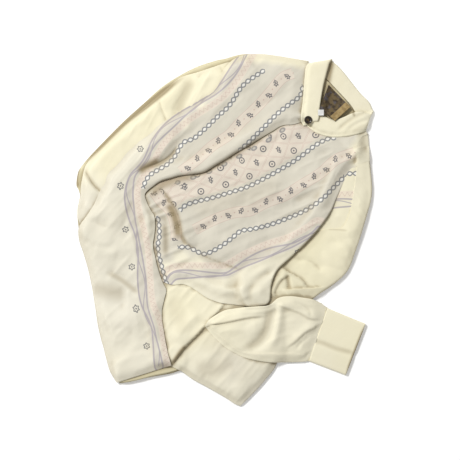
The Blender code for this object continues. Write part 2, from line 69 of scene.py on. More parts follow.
def measureFrom(x, y, line):
    # distance to the line, signed distance (left of its direction is positive) and the run passed there
    nearest = np.full(x.shape, 1e9)
    side = np.zeros(x.shape)
    run = np.zeros(x.shape)
    ends = np.asarray(line, float)
    lengths = np.hypot(*(ends[1:] - ends[:-1]).T)
    before = np.concatenate([[0.0], np.cumsum(lengths)])
    last = len(lengths) - 1
    for k, (a, b, start, length) in enumerate(zip(ends, ends[1:], before, lengths)):
        if length < 1e-9:
            continue
        dx, dy = (b - a) / length
        along = (x - a[0]) * dx + (y - a[1]) * dy
        over = dx * (y - a[1]) - dy * (x - a[0])
        held = np.clip(along, 0, length)
        gap = np.hypot(over, along - held)
        free = along if k in (0, last) else held
        free = np.where((k == 0) & (free > length), length, free)
        free = np.where((k == last) & (free < 0), 0, free)
        closer = gap < nearest
        side = np.where(closer, np.where(over < 0, -gap, gap), side)
        run = np.where(closer, start + free, run)
        nearest = np.where(closer, gap, nearest)
    return nearest, side, run, before[-1]


def creaseHeights(x, y, creases):
    # height, half width, sharpness from 0 (round) to 1 (a crest), line
    total = np.zeros(x.shape)
    for height, width, sharp, line in creases:
        curve = evenCurve(line, 8)
        gap, _, run, whole = measureFrom(x, y, curve)
        share = np.clip(run / whole, 0, 1)
        fade = np.clip(np.minimum(share, 1 - share) * 5 + 0.2, 0, 1)
        soft = np.exp(-((gap / width) ** 2))
        crest = np.exp(-np.abs(gap) / (width * 0.6))
        total += height * fade * (soft * (1 - sharp) + crest * sharp)
    return total


def lipHeights(x, y, lips):
    # height, rounding, reach, line: the cloth left of the line's direction lies over the cloth right of it
    total = np.zeros(x.shape)
    for height, rounding, reach, line in lips:
        gap, side, run, whole = measureFrom(x, y, evenCurve(line, 6))
        share = np.clip(run / whole, 0, 1)
        beyond = np.where((run < -2) | (run > whole + 2), np.exp(-((gap / 8) ** 2)), 1)
        fade = np.clip(np.minimum(share, 1 - share) * 6, 0, 1) * beyond
        rounded = np.sqrt(1 - (1 - np.clip(side / rounding, 0, 1)) ** 2)
        over = rounded * np.exp(-((np.maximum(side, 0) / reach) ** 2))
        under = -0.45 * np.exp(-((np.minimum(side, 0) / 9) ** 2)) * (side < 0)
        total += height * fade * (over + under)
    return total


def softNoise(x, y, size, seed):
    # smooth lattice noise from -1 to 1, the same on every run
    table = np.random.default_rng(seed).uniform(-1, 1, (64, 64))
    u, v = x / size + 31.7, y / size + 17.3
    i, j = np.floor(u).astype(int), np.floor(v).astype(int)
    s, t = u - i, v - j
    s, t = s * s * s * (s * (s * 6 - 15) + 10), t * t * t * (t * (t * 6 - 15) + 10)
    low = table[i % 64, j % 64] * (1 - s) + table[(i + 1) % 64, j % 64] * s
    high = table[i % 64, (j + 1) % 64] * (1 - s) + table[(i + 1) % 64, (j + 1) % 64] * s
    return low * (1 - t) + high * t


# the map of the heap: cell and half sizes, and how far cloth bridges a dip, in millimetres
pileSizes = {"cell": 2.0, "halves": (364.0, 424.0), "bridge": 12.0, "near": 5.0}


class Pile:
    # the height of what already lies there, on a map of the plan
    def __init__(self):
        self.shape = [int(2 * half / pileSizes["cell"]) + 1 for half in pileSizes["halves"]]
        self.top = np.zeros(self.shape)
        self.refresh()

    def widened(self, reach, blur):
        # the heights spread outwards by the reach, then smoothed
        cells = max(1, int(round(reach / pileSizes["cell"])))
        best = self.top.copy()
        for axis in (0, 1):
            source = best.copy()
            for step in range(1, cells + 1):
                best = np.maximum(best, np.maximum(np.roll(source, step, axis),
                                                   np.roll(source, -step, axis)))
        for axis in (0, 1):
            for _ in range(blur):
                best = (np.roll(best, 1, axis) + np.roll(best, -1, axis) + 2 * best) / 4
        return best

    def refresh(self):
        self.bridged = self.widened(pileSizes["bridge"], 9)
        self.close = self.widened(pileSizes["near"], 3)
        self.bare = self.widened(2.0, 1)

    def cells(self, x, y):
        return [(place + half) / pileSizes["cell"] for place, half in zip((x, y), pileSizes["halves"])]

    def look(self, heights, x, y):
        # the height at each place, blended between the four cells round it
        i, j = (np.clip(cell, 0, size - 1.001) for cell, size in zip(self.cells(x, y), self.shape))
        a, b = i.astype(int), j.astype(int)
        s, t = i - a, j - b
        low = heights[a, b] * (1 - s) + heights[a + 1, b] * s
        high = heights[a, b + 1] * (1 - s) + heights[a + 1, b + 1] * s
        return low * (1 - t) + high * t

    def add(self, grid):
        # a laid piece becomes part of the heap
        for s in (0, 0.5):
            for t in (0, 0.5):
                half = grid[:-1] * (1 - s) + grid[1:] * s
                dense = half[:, :-1] * (1 - t) + half[:, 1:] * t
                cells = self.cells(dense[..., 0], dense[..., 1])
                at = [np.clip(np.round(cell).astype(int), 0, size - 1)
                      for cell, size in zip(cells, self.shape)]
                np.maximum.at(self.top, tuple(at), dense[..., 2])
        self.refresh()

    def shade(self, x, y, z):
        # how far the surroundings close in over each point, 0 open to 1 deep in a fold
        total = np.zeros(x.shape)
        hollow = np.zeros(x.shape)
        for turn in np.arange(12) * math.pi / 6:
            highest = np.zeros(x.shape)
            for reach in (4.0, 7.0, 11.0, 17.0, 26.0):
                rise = self.look(self.top, x + reach * math.cos(turn), y + reach * math.sin(turn)) - z
                highest = np.maximum(highest, rise / np.hypot(rise, reach))
                if reach == 7.0:
                    hollow += np.clip(rise, -6, 6)
            total += np.clip(highest - 0.05, 0, 1)
        return total / 12 + np.clip(hollow / 12 - 0.3, 0, 1.6) * 0.14


pile = Pile()


def gridShape(grid):
    # a bmesh grid moved to the points, which are in millimetres
    rows, columns = grid.shape[:2]
    shape = bmesh.new()
    bmesh.ops.create_grid(shape, x_segments=columns - 1, y_segments=rows - 1, size=1)
    shape.verts.ensure_lookup_table()
    for vertex, point in zip(shape.verts, grid.reshape(-1, 3) * mm):
        vertex.co = point
    return shape


def objectFrom(name, shape, material, smooth=True):
    for face in shape.faces:
        face.smooth = smooth
    mesh = bpy.data.meshes.new(name)
    shape.to_mesh(mesh)
    shape.free()
    mesh.materials.append(material)
    made = bpy.data.objects.new(name, mesh)
    scene.collection.objects.link(made)
    return made


def pointsOf(made):
    return np.array([vertex.co[:] for vertex in made.data.vertices]) / mm


def closeUp(shape):
    # joins the ends of a ring or a pole, and turns every face outwards
    bmesh.ops.remove_doubles(shape, verts=shape.verts, dist=1e-6)
    bmesh.ops.recalc_face_normals(shape, faces=shape.faces)


def sheetObject(name, grid, material, wall, offset=-1):
    # a grid of points as a sheet, its upper side up, with an even wall
    shape = gridShape(grid)
    shape.normal_update()
    if sum(face.normal.z * face.calc_area() for face in shape.faces) < 0:
        bmesh.ops.reverse_faces(shape, faces=shape.faces)
    made = objectFrom(name, shape, material)
    solid = made.modifiers.new("clothWall", "SOLIDIFY")
    solid.thickness = wall * mm
    solid.offset = offset
    solid.use_quality_normals = True
    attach(made, "root")
    return made


def addValues(made, name, values, kind="FLOAT"):
    layer = made.data.attributes.new(name, kind, "POINT")
    key = "value" if kind == "FLOAT" else "vector"
    layer.data.foreach_set(key, np.ascontiguousarray(values, np.float32).ravel())


curlAngles = (0, 14, 29, 45, 62)  # degrees round a turned edge, where its points stand


def placesAlong(length, startCurl, endCurl, gap, roll):
    # even places from 0 to the length, with closer ones on an end that turns down
    steps = [roll * (1 - math.cos(math.radians(a))) for a in (*curlAngles, 90)]
    start = steps if startCurl else [0.0]
    end = steps if endCurl else [0.0]
    inner = length - start[-1] - end[-1]
    count = max(1, int(round(inner / gap)))
    middle = [start[-1] + inner * k / count for k in range(1, count)]
    return start + middle + [length - v for v in reversed(end)]


def planGrid(settings, roll):
    # the panel's points on the plan, and each point's place across and along the cloth
    table = np.asarray(settings["lines"], float)
    curled = [side for side, turn in settings["edges"].items() if turn != "open"]
    gap = settings.get("gap", 3.0)
    stations = np.linspace(0, len(table) - 1, 40 * len(table))
    fine = smoothCurve(table.mean(axis=1), stations)
    run = np.concatenate([[0.0], np.cumsum(np.hypot(*(fine[1:] - fine[:-1]).T))])
    wanted = placesAlong(run[-1], "first" in curled, "last" in curled, gap, roll)
    lines = smoothCurve(table, np.interp(wanted, run, stations))
    shares = placesAlong(1.0, False, False, gap / settings["wide"], roll)
    curl = [1 - math.cos(math.radians(a)) for a in curlAngles]
    reach = settings.get("reach", (0.0, 0.0))
    grid, threads = [], []
    for line, passedRun in zip(lines, wanted):
        track = smoothCurve(line, np.linspace(0, len(line) - 1, 60))
        ways = [track[0] - track[3], track[-1] - track[-4]]
        ends = [track[i] + way / max(np.hypot(*way), 1e-6) * out
                for i, way, out in zip((0, -1), ways, reach)]
        track = np.vstack([ends[0], track, ends[1]])
        passed = np.concatenate([[0.0], np.cumsum(np.hypot(*(track[1:] - track[:-1]).T))])
        width = passed[-1]
        left, right = (min(roll, 0.4 * width) if side in curled else 0.0 for side in ("near", "far"))
        at = [left * c for c in curl] if left else []
        at += [left + (width - left - right) * c for c in shares]
        at += [width - right * c for c in reversed(curl)] if right else []
        grid.append(np.column_stack([np.interp(at, passed, track[:, k]) for k in (0, 1)]))
        threads.append(np.column_stack([np.asarray(at) - width / 2, np.full(len(at), passedRun)]))
    return np.asarray(grid), np.asarray(threads)


def clothRelief(settings, x, y):
    # everything that rises from or sinks into the panel: folds, lips, crumples and long slanting wrinkles
    relief = creaseHeights(x, y, settings["creases"]) + lipHeights(x, y, settings.get("lips", ()))
    crumples = ((0.7, 46, 3), (0.45, 23, 5), (0.2, 11, 8))
    crumpled = sum(height * softNoise(x, y, size, seed) for height, size, seed in crumples)
    relief += settings.get("crumple", 1.0) * crumpled
    grain = math.radians(settings.get("grain", 45))
    along = x * math.cos(grain) + y * math.sin(grain)
    across = y * math.cos(grain) - x * math.sin(grain)
    for size, height, seed in ((80, 2.0, 21), (42, 1.1, 22)):
        wrinkles = 0.42 - np.abs(softNoise(along, across * 3.0, size, seed))
        relief += settings.get("wrinkle", 0.0) * height * wrinkles
    return relief


def layPanel(settings):
    # lays a panel on the heap. An edge that isn't named lies loose, an open one is hidden, and a number
    # says how firmly it turns down, or pairs say it from place to place. Returns the points in millimetres,
    # their places across and along the cloth, and how far they are from the panel's edge.
    roll = settings.get("roll", 4.0)
    grid, threads = planGrid(settings, roll)
    x, y = grid[..., 0], grid[..., 1]
    rounded = np.ones(x.shape)
    raised = np.full(x.shape, settings.get("puff", 0.0))
    rim = np.full(x.shape, 1e3)
    firm = np.zeros(x.shape)
    borders = {"near": grid[:, 0], "far": grid[:, -1], "first": grid[0], "last": grid[-1]}
    for side, border in borders.items():
        away, _, passed, whole = measureFrom(x, y, border[:: 1 + len(border) // 120])
        rim = np.minimum(rim, away)
        turn = settings["edges"].get(side)
        if turn == "open":
            rim = np.maximum(rim, 30)
            continue
        if turn is None:
            raised = raised * np.clip(away / 28, 0, 1)
            firm = np.where(away <= rim, 1.0, firm)
            continue
        if isinstance(turn, tuple):
            turn = np.interp(np.clip(passed / whole, 0, 1), *np.transpose(turn))
        firm = np.where(away <= rim, turn, firm)
        rolled = np.sqrt(1 - (1 - np.clip(away / roll, 0, 1)) ** 2)
        eased = np.clip(away / settings.get("ease", 16), 0, 1)
        eased = eased * eased * (3 - 2 * eased)
        rounded = rounded * (turn * rolled + (1 - turn) * eased)
        raised = raised * (turn + (1 - turn) * np.clip(away / 22, 0, 1))
        raised = np.maximum(raised, turn * settings.get("lift", 3.0) * np.exp(-((away / 30) ** 2)))
    total = raised + clothRelief(settings, x, y)
    held = np.maximum(np.where(total > 0, total, 0.25 * total), -1.2)
    top = pile.look(pile.bridged, x, y) + 2.8 - settings.get("sink", 0.0) + held
    firm = np.clip(firm * 3, 0, 1)
    edge = (pile.look(pile.close, x, y) + 1.2) * firm + (pile.look(pile.bare, x, y) - 0.3) * (1 - firm)
    return np.dstack([x, y, edge + (top - edge) * rounded]), threads, rim


panels = []  # each piece of cloth with its points and settings, for the print and the fold shade
waiting = []  # panels that aren't part of the heap yet
clothThickness = 1.1


def shadeAlong(x, y, shades):
    # painted shade under lips and in tight folds, drawn along lines: strength, half width, line
    total = np.zeros(x.shape)
    for strength, width, line in shades:
        gap, _, run, whole = measureFrom(x, y, evenCurve(line, 8))
        share = np.clip(run / whole, 0, 1)
        fade = np.clip(np.minimum(share, 1 - share) * 5 + 0.1, 0, 1)
        total = np.maximum(total, strength * fade * np.exp(-((gap / width) ** 2)))
    return total


def addWarmthAndPaintedLight(made, grid, spots):
    # 1 where the cotton is painted yellow and lighter, 0 where it is grey and darker, blended between spots
    # on the plan; partly the cloth's own tone, partly painted light and shade
    x, y = grid[..., 0].ravel(), grid[..., 1].ravel()
    total, weights = np.zeros(x.shape), np.zeros(x.shape)
    for spotX, spotY, value in spots:
        weight = 1 / (np.hypot(x - spotX, y - spotY) ** 2 + 400)
        total, weights = total + weight * value, weights + weight
    addValues(made, "warmAndPaintedLight", total / weights)


def makePanel(name, node, slot, settings, material):
    grid, threads, rim = layPanel(settings)
    waiting.append(grid)
    while waiting and not settings.get("late"):
        pile.add(waiting.pop())
    made = sheetObject(name, grid, material, clothThickness)
    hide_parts(node)
    addValues(made, "threads", np.dstack([threads, rim]).reshape(-1, 3), "FLOAT_VECTOR")
    addWarmthAndPaintedLight(made, grid, settings["warmAndPaintedLight"])
    panels.append((made, grid, settings))
    print(name, "laid,", len(made.data.polygons), "faces")


# the rope along the upper part of the left front, which its lattice follows too
upperRope = (
    (245, 203), (225, 200), (200, 187), (175, 168), (150, 150), (120, 132), (90, 115), (50, 95), (10, 82),
    (-30, 70), (-60, 63), (-85, 55), (-100, 42),
)
# lines on the plan that each kind of pattern follows, and spots that stay plain: x, y, radius
printLines = {
    "rightFront": {
        "rope": (
            ((88, 352), (70, 340), (45, 322), (30, 305), (20, 288), (5, 268), (-15, 250), (-35, 230),
             (-55, 212), (-70, 200), (-90, 193), (-100, 180), (-110, 162), (-125, 145), (-150, 130),
             (-165, 120), (-175, 105), (-180, 90)),
            ((172, 320), (165, 295), (140, 275), (115, 255), (90, 230), (70, 210), (50, 190), (30, 172)),
        ),
        "sprig": (
            ((150, 345), (125, 333), (97, 300), (70, 270), (35, 237), (8, 208), (-27, 185), (-60, 155),
             (-97, 127)),
        ),
        "border": (
            ((44, 392), (12, 340), (-20, 303), (-60, 277), (-95, 253), (-130, 222), (-150, 200),
             (-160, 185), (-175, 155), (-190, 135), (-202, 120), (-208, 100), (-211, 75), (-208, 45),
             (-203, 20), (-197, 0), (-190, -30), (-186, -60), (-184, -90), (-182, -120), (-180, -145),
             (-175, -170), (-165, -195), (-158, -215), (-155, -235), (-150, -265), (-145, -300)),
        ),
        "plain": ((-161, 50, 6), (-158, 22, 10), (-158, -8, 10), (-158, -38, 4), (-134, -150, 10),
                  (-130, -200, 14), (-126, -260, 14), (165, 380, 16), (135, 384, 16), (105, 386, 14),
                  (75, 386, 12), (42, 384, 10), (-48, 268, 3), (-88, 232, 4), (-120, 206, 2)),
    },
    "leftFront": {
        "rope": (
            upperRope,
            ((-150, 32), (-146, 19), (-144, -2), (-144, -14), (-147, -30), (-147, -47), (-143, -64),
             (-137, -88), (-130, -113), (-126, -124)),
            ((265, 120), (240, 95), (215, 70), (180, 45), (140, 27), (100, 12), (60, 2), (35, -2),
             (15, -18), (-5, -33), (-25, -45), (-45, -53), (-60, -48), (-80, -38), (-105, -38)),
        ),
        "sprig": (
            ((285, 170), (245, 155), (210, 125), (170, 100), (130, 75), (90, 60), (55, 42), (20, 38),
             (-25, 22), (-68, 0)),
            ((-157, 86), (-138, 60), (-121, 44), (-112, 22), (-107, -2), (-108, -25)),
        ),
        "border": (
            ((-135, -125), (-125, -115), (-110, -100), (-80, -97), (-40, -97), (0, -97), (20, -88),
             (50, -70), (100, -48), (150, -32), (190, -10), (205, 2)),
        ),
        "lattice": (upperRope[::-1],),
        "plain": ((309, 166, 30), (305, 205, 8), (250, 235, 4), (-96, -64, 12), (-62, -74, 10),
                  (-126, -88, 12)),
        "ovals": (
            ((172, 250), (160, 240), (130, 222), (92, 195), (50, 172), (20, 156), (-30, 130), (-80, 112),
             (-105, 104)),
        ),
    },
    "leftFrontSide": {
        "rope": (((255, 120), (275, 124), (291, 124)),),
        "border": (((201, 50), (225, 55), (250, 59), (280, 60)),),
        "plain": ((280, 100, 90),),
    },
}
patternKinds = ("rope", "sprig", "border", "lattice", "ovals")
farAway = 900.0  # where a panel has no line of that kind
lineStep = 400  # added to the run from line to line, so that neighbours are out of step


def printValues(made, grid, lines):
    # for each kind of pattern: the run and signed distance of its nearest line, and the plain distance
    x, y = grid[..., 0].ravel(), grid[..., 1].ravel()
    for kind in patternKinds:
        best = np.full((len(x), 3), farAway)
        for number, line in enumerate(lines.get(kind, ())):
            gap, side, run, whole = measureFrom(x, y, evenCurve(line, 6))
            gap = np.where((run < 0) | (run > whole), np.maximum(gap, 100.0), gap)
            values = np.column_stack([run + lineStep * number, side, gap])
            best = np.where((gap < best[:, 2])[:, None], values, best)
        addValues(made, kind, best, "FLOAT_VECTOR")
    ground = np.ones(len(x))
    if "border" in lines:
        side = measureFrom(x, y, evenCurve(lines["border"][0], 8))[1]
        ground = np.clip((side + 12) / 4, 0, 1)
    for plainX, plainY, reach in lines.get("plain", ()):
        ground = ground * np.clip((np.hypot(x - plainX, y - plainY) - reach) / 14, 0, 1)
    addValues(made, "ground", ground)


class Wire:
    # a number on its way through a material
    def __init__(self, tree, socket):
        self.tree, self.socket = tree, socket

    def math(self, kind, *others, clamp=False):
        node = self.tree.nodes.new("ShaderNodeMath")
        node.operation, node.use_clamp = kind, clamp
        for slot, value in zip(node.inputs, (self, *others)):
            if isinstance(value, Wire):
                self.tree.links.new(value.socket, slot)
            else:
                slot.default_value = value
        return Wire(self.tree, node.outputs[0])

    def __add__(self, other):
        return self.math("ADD", other)

    __radd__ = __add__

    def __mul__(self, other):
        return self.math("MULTIPLY", other)

    __rmul__ = __mul__

    def __sub__(self, other):
        return self.math("SUBTRACT", other)

    def __rsub__(self, other):
        return (self * -1).math("ADD", other)

    def __truediv__(self, other):
        return self.math("DIVIDE", other)

    def __abs__(self):
        return self.math("ABSOLUTE")

    def __neg__(self):
        return self * -1

    def below(self, edge, soft=0.5):
        # 1 where the value is under the edge, 0 above it
        return ((edge - self) / soft).math("ADD", 0.5, clamp=True)

    def sine(self):
        return self.math("SINE")

    def smallest(self, other):
        return self.math("MINIMUM", other)

    def largest(self, other):
        return self.math("MAXIMUM", other)

    def floored(self):
        return self.math("FLOOR")


class Finish:
    # one material: nodes are added by kind, colours are mixed, and paint() closes it
    def __init__(self, name, roughness, sheen=0.0, coat=0.0):
        self.material = bpy.data.materials.new(name)
        self.material.use_nodes = True
        self.tree = self.material.node_tree
        self.shader = self.tree.nodes["Principled BSDF"]
        self.shader.inputs["Roughness"].default_value = roughness
        self.shader.inputs["Sheen Weight"].default_value = sheen
        self.shader.inputs["Coat Weight"].default_value = coat
        self.shader.inputs["Specular IOR Level"].default_value = 0.3

    def node(self, kind, settings=(), values=(), out=0):
        made = self.tree.nodes.new(kind)
        for key, value in dict(settings).items():
            setattr(made, key, value)
        for key, value in dict(values).items():
            if isinstance(value, Wire):
                self.tree.links.new(value.socket, made.inputs[key])
            else:
                made.inputs[key].default_value = value
        return Wire(self.tree, made.outputs[out])

    def number(self, name):
        return self.node("ShaderNodeAttribute", {"attribute_name": name}, out="Fac")

    def parts(self, name):
        source = self.node("ShaderNodeAttribute", {"attribute_name": name}, out="Vector")
        made = self.tree.nodes.new("ShaderNodeSeparateXYZ")
        self.tree.links.new(source.socket, made.inputs[0])
        return [Wire(self.tree, socket) for socket in made.outputs]

    def place(self):
        return self.node("ShaderNodeTexCoord", out="Object")

    def cloud(self, size, detail=3.0):
        # soft noise with patches of about the size, in millimetres
        values = {"Vector": self.place(), "Scale": 1 / (size * mm), "Detail": detail}
        return self.node("ShaderNodeTexNoise", {"noise_dimensions": "3D"}, values)

    def mixed(self, share, first, second):
        made = self.tree.nodes.new("ShaderNodeMix")
        made.data_type = "RGBA"
        for slot, value in zip((made.inputs[0], made.inputs[6], made.inputs[7]), (share, first, second)):
            if isinstance(value, Wire):
                self.tree.links.new(value.socket, slot)
            else:
                slot.default_value = value
        return Wire(self.tree, made.outputs[2])

    def paint(self, colour, height, strength, distance):
        self.tree.links.new(colour.socket, self.shader.inputs["Base Color"])
        values = {"Strength": strength, "Distance": distance * mm, "Height": height}
        bump = self.node("ShaderNodeBump", (), values)
        self.tree.links.new(bump.socket, self.shader.inputs["Normal"])
        return self.material


def tone(red, green, blue):
    # a screen colour, each part from 0 to 255, as the linear colour that a material takes
    parts = [part / 255 for part in (red, green, blue)]
    return (*(((part + 0.055) / 1.055) ** 2.4 if part > 0.04 else part / 12.92 for part in parts), 1.0)


clothTones = {
    "yellow": tone(247, 240, 210),
    "yellowDeep": tone(243, 235, 200),
    "grey": tone(233, 228, 212),
    "greyDeep": tone(227, 222, 205),
    "ground": tone(223, 218, 202),
    "groundDeep": tone(216, 210, 194),
    # painted shade colour for folds and under edges
    "paintedShadeColour": tone(156, 139, 104),
    "inside": tone(240, 232, 198),
    "insideDeep": tone(222, 212, 172),
    "rope": tone(126, 128, 132),
    "ropeFill": tone(246, 244, 236),
    "motif": tone(98, 98, 104),
    "pink": tone(238, 222, 206),
    "pinkLine": tone(208, 184, 172),
    "lilac": tone(176, 168, 174),
}


clothFeel = {"roughness": 0.86, "thread": 1.2, "bump": 0.35, "depth": 0.35}


def weave(finish):
    # plain weave, two threads to each "thread" millimetres, with slubs and a soft crush
    u, v, _ = finish.parts("threads")
    turn = 2 * math.pi / clothFeel["thread"]
    over = (u * turn).sine() * (v * turn).sine()
    slub = finish.cloud(5, 2.0)
    crush = finish.cloud(34, 4.0)
    return over * 0.25 + slub * 0.5 + crush * 8.0


def clothBase(finish):
    patch = finish.cloud(120, 2.0)
    share = (patch - 0.35) * 1.8
    yellow = finish.mixed(share, clothTones["yellow"], clothTones["yellowDeep"])
    grey = finish.mixed(share, clothTones["grey"], clothTones["greyDeep"])
    # yellow and lighter or grey and darker by the warmth spots: partly the cloth's own tone, partly painted
    # light and shade
    return finish.mixed(finish.number("warmAndPaintedLight"), grey, yellow)


def paintFoldShade(finish, colour):
    # painted shade: the cotton's colour goes ochre-brown where foldShade says it lies in a fold or under an
    # edge, standing in for the shade there and the colour the cotton bounces into it
    depth = ((finish.number("foldShade") - 0.05) * 1.4).smallest(0.85)
    return finish.mixed(depth, colour, clothTones["paintedShadeColour"])


def clothPaint(finish, colour, height):
    return finish.paint(paintFoldShade(finish, colour), height, clothFeel["bump"], clothFeel["depth"])


def plainCotton(name, inside=False):
    finish = Finish(name, clothFeel["roughness"], sheen=0.12)
    height = weave(finish)
    if inside:
        colour = finish.mixed(finish.cloud(60, 2.0), clothTones["inside"], clothTones["insideDeep"])
    else:
        colour = clothBase(finish)
    return clothPaint(finish, colour, height)


# pitches along the lines, widths and radii of the print, in millimetres
printSizes = {
    "sprigPitch": 30.0, "sprigBand": 11.5, "sprigSize": 1.35, "sprigShift": 2.5,
    "latticePitch": 58.0, "latticeSlope": 1.5, "latticeStart": 10.0, "latticeEnd": 78.0, "ring": 6.2,
    "ovalPitch": 37.0, "ovalLong": 7.5, "ovalWide": 5.2,
    "ribbonPitch": 190.0, "ribbonAway": 6.0, "strandPitch": 145.0,
    "zigzagPitch": 11.0, "zigzagAway": 19.0, "zigzagBand": 7.5,
    "bloomPitch": 88.0, "bloomAway": 20.0, "bloomRadius": 5.6, "bloomStart": 240.0,
    "ropePitch": 26.0, "ropeWide": 4.3, "ropeBand": 7.5,
}


def sprigMask(x, y, size=1.0):
    # a small five-petalled flower on a stem with a pair of leaves, in millimetres about its middle
    x, y = x * (1 / size), y * (1 / size)
    up = y - 1.8
    away = (x * x + up * up).math("SQRT")
    turn = up.math("ARCTAN2", x)
    petals = away.below((turn * 5).math("COSINE") * 1.0 + 3.3, 0.7) * (1 - away.below(1.1, 0.5))
    stem = abs(x).below(0.55, 0.4) * abs(y + 3.6).below(2.6, 0.5)
    leafX, leafY = (abs(x) - 2.0) / 1.7, (y + 3.0 - (abs(x) - 2.0) * 1.1) / 1.0
    leaves = (leafX * leafX + leafY * leafY).below(1.0, 0.5)
    return petals.largest(stem).largest(leaves)


def addSprigs(finish, colour):
    # pink bands with hairline edges, and sprigs that lean to either side in two staggered rows
    run, side, gap = finish.parts("sprig")
    pitch, half = printSizes["sprigPitch"], printSizes["sprigBand"]
    band = gap.below(half, 0.8)
    colour = finish.mixed(band * 0.5, colour, clothTones["pink"])
    colour = finish.mixed(abs(gap - half).below(0.5, 0.5) * 0.8, colour, clothTones["pinkLine"])
    cell = (run * (1 / pitch)).floored()
    turned = (cell * math.pi).math("COSINE")
    across, up = run - (cell + 0.5) * pitch, side - turned * printSizes["sprigShift"]
    leanX, leanY = across * 0.85 + up * turned * 0.52, up * 0.85 - across * turned * 0.52
    sprigs = sprigMask(leanX, leanY, printSizes["sprigSize"]) * band
    colour = finish.mixed(sprigs * 0.9, colour, clothTones["motif"])
    between = run - (run * (1 / pitch) + 0.5).floored() * pitch
    knots = (between * between + side * side).math("SQRT").below(1.6, 0.8)
    return finish.mixed(knots * 0.8, colour, clothTones["pinkLine"])


def addLattice(finish, colour):
    # lattice of pink ribbons with sprigs and rings between them
    along, over, gap = finish.parts("lattice")
    pitch, slope, end = (printSizes[key] for key in ("latticePitch", "latticeSlope", "latticeEnd"))
    field = over.below(end, 1) * (1 - over.below(printSizes["latticeStart"], 1)) * gap.below(end + 1, 1)
    colour = finish.mixed(field * 0.45, colour, clothTones["pink"])
    first, second = (along + over * slope) * (1 / pitch), (along - over * slope) * (1 / pitch)
    firstPart, secondPart = first - first.floored() - 0.5, second - second.floored() - 0.5
    ribbon = (0.5 - abs(firstPart)).smallest(0.5 - abs(secondPart))
    ribbonLine = abs(ribbon - 0.035).below(0.012, 0.012) * field
    colour = finish.mixed(ribbonLine * 0.8, colour, clothTones["pinkLine"])
    x, y = (firstPart + secondPart) * (pitch / 2), (firstPart - secondPart) * (pitch / 2 / slope)
    away = (x * x + y * y).math("SQRT")
    ring = abs(away - printSizes["ring"]).below(1.2, 0.7).largest(away.below(2.0, 0.7))
    ringHere = abs(((first.floored() + second.floored()) * (math.pi / 2)).math("COSINE")).below(0.5, 0.01)
    motif = sprigMask(x, y, 1.4) * (1 - ringHere) + ring * ringHere
    return finish.mixed(motif * field * 0.9, colour, clothTones["motif"])


def addOvals(finish, colour):
    # grey-blue ovals along the front edge
    run, side, _ = finish.parts("ovals")
    pitch = printSizes["ovalPitch"]
    local = run - ((run * (1 / pitch)).floored() + 0.5) * pitch
    long, wide = local / printSizes["ovalLong"], side / printSizes["ovalWide"]
    oval = (long * long + wide * wide).math("SQRT")
    colour = finish.mixed(oval.below(1.0, 0.12) * 0.75, colour, clothTones["rope"])
    return finish.mixed(oval.below(0.45, 0.12) * 0.6, colour, clothTones["ground"])


def addBorder(finish, colour):
    # two swaying lilac ribbons with a strand crossing between them, and a zigzag on a pink band inside
    run, side, gap = finish.parts("border")
    away, middle = printSizes["ribbonAway"], printSizes["zigzagAway"]
    sway = (run * (2 * math.pi / printSizes["ribbonPitch"])).sine() * 3.2
    ribbons = abs(abs(side) - away - sway).below(1.7, 1.0)
    filling = abs(side).below(sway + away, 1.0) * gap.below(40, 1)
    colour = finish.mixed(filling * 0.1, colour, clothTones["lilac"])
    crossing = (run * (2 * math.pi / printSizes["strandPitch"])).sine() * 6.5
    strand = abs(side - crossing).below(1.1, 0.9) * gap.below(9, 0.5)
    colour = finish.mixed(ribbons.largest(strand) * 0.85, colour, clothTones["lilac"])
    band = abs(side - middle).below(printSizes["zigzagBand"], 0.8)
    wave = (run * (2 * math.pi / printSizes["zigzagPitch"])).sine() * 3.8
    zigzag = abs(side - middle - wave).below(1.3, 0.9) * band
    colour = finish.mixed(band * 0.6, colour, clothTones["pink"])
    return finish.mixed(zigzag * 0.5, colour, clothTones["pinkLine"])


def addBlooms(finish, colour):
    # six-petalled blooms outside the border
    run, side, gap = finish.parts("border")
    pitch, out = printSizes["bloomPitch"], side + printSizes["bloomAway"]
    local = run - ((run * (1 / pitch)).floored() + 0.55) * pitch
    away = (local * local + out * out).math("SQRT")
    petals = (out.math("ARCTAN2", local) * 6).math("COSINE") * 1.1
    bloom = abs(away - printSizes["bloomRadius"] - petals).below(1.3, 0.8).largest(away.below(1.7, 0.6))
    near = gap.below(34, 1) * (1 - run.below(printSizes["bloomStart"], 1))
    return finish.mixed(bloom * near * 0.85, colour, clothTones["motif"])


def addRope(finish, colour):
    # rope of two crossing strands with a white filling
    run, side, gap = finish.parts("rope")
    turn, wide = 2 * math.pi / printSizes["ropePitch"], printSizes["ropeWide"]
    band = gap.below(printSizes["ropeBand"], 0.5)
    wave = (run * turn).sine() * wide
    slope = (run * turn).math("COSINE") * (wide * turn)
    slope = (slope * slope + 1).math("SQRT")
    strands = (abs(side - wave) / slope).smallest(abs(side + wave) / slope).below(1.35, 0.8)
    colour = finish.mixed(abs(side).below(abs(wave), 0.8) * band * 0.85, colour, clothTones["ropeFill"])
    return finish.mixed(strands * band * 0.92, colour, clothTones["rope"])


def printedCotton(name):
    finish = Finish(name, clothFeel["roughness"], sheen=0.1)
    height = weave(finish)
    base = clothBase(finish)
    printed = finish.mixed(finish.cloud(70, 2.0), clothTones["ground"], clothTones["groundDeep"])
    colour = finish.mixed(finish.number("ground"), base, printed)
    for addMotifs in (addSprigs, addLattice, addOvals, addBorder, addBlooms, addRope):
        colour = addMotifs(finish, colour)
    return clothPaint(finish, colour, height)


ivoryCotton = plainCotton("ivoryCotton")
insideCotton = plainCotton("insideCotton", inside=True)
printCotton = printedCotton("printedCotton")
print("cloth finishes ready")


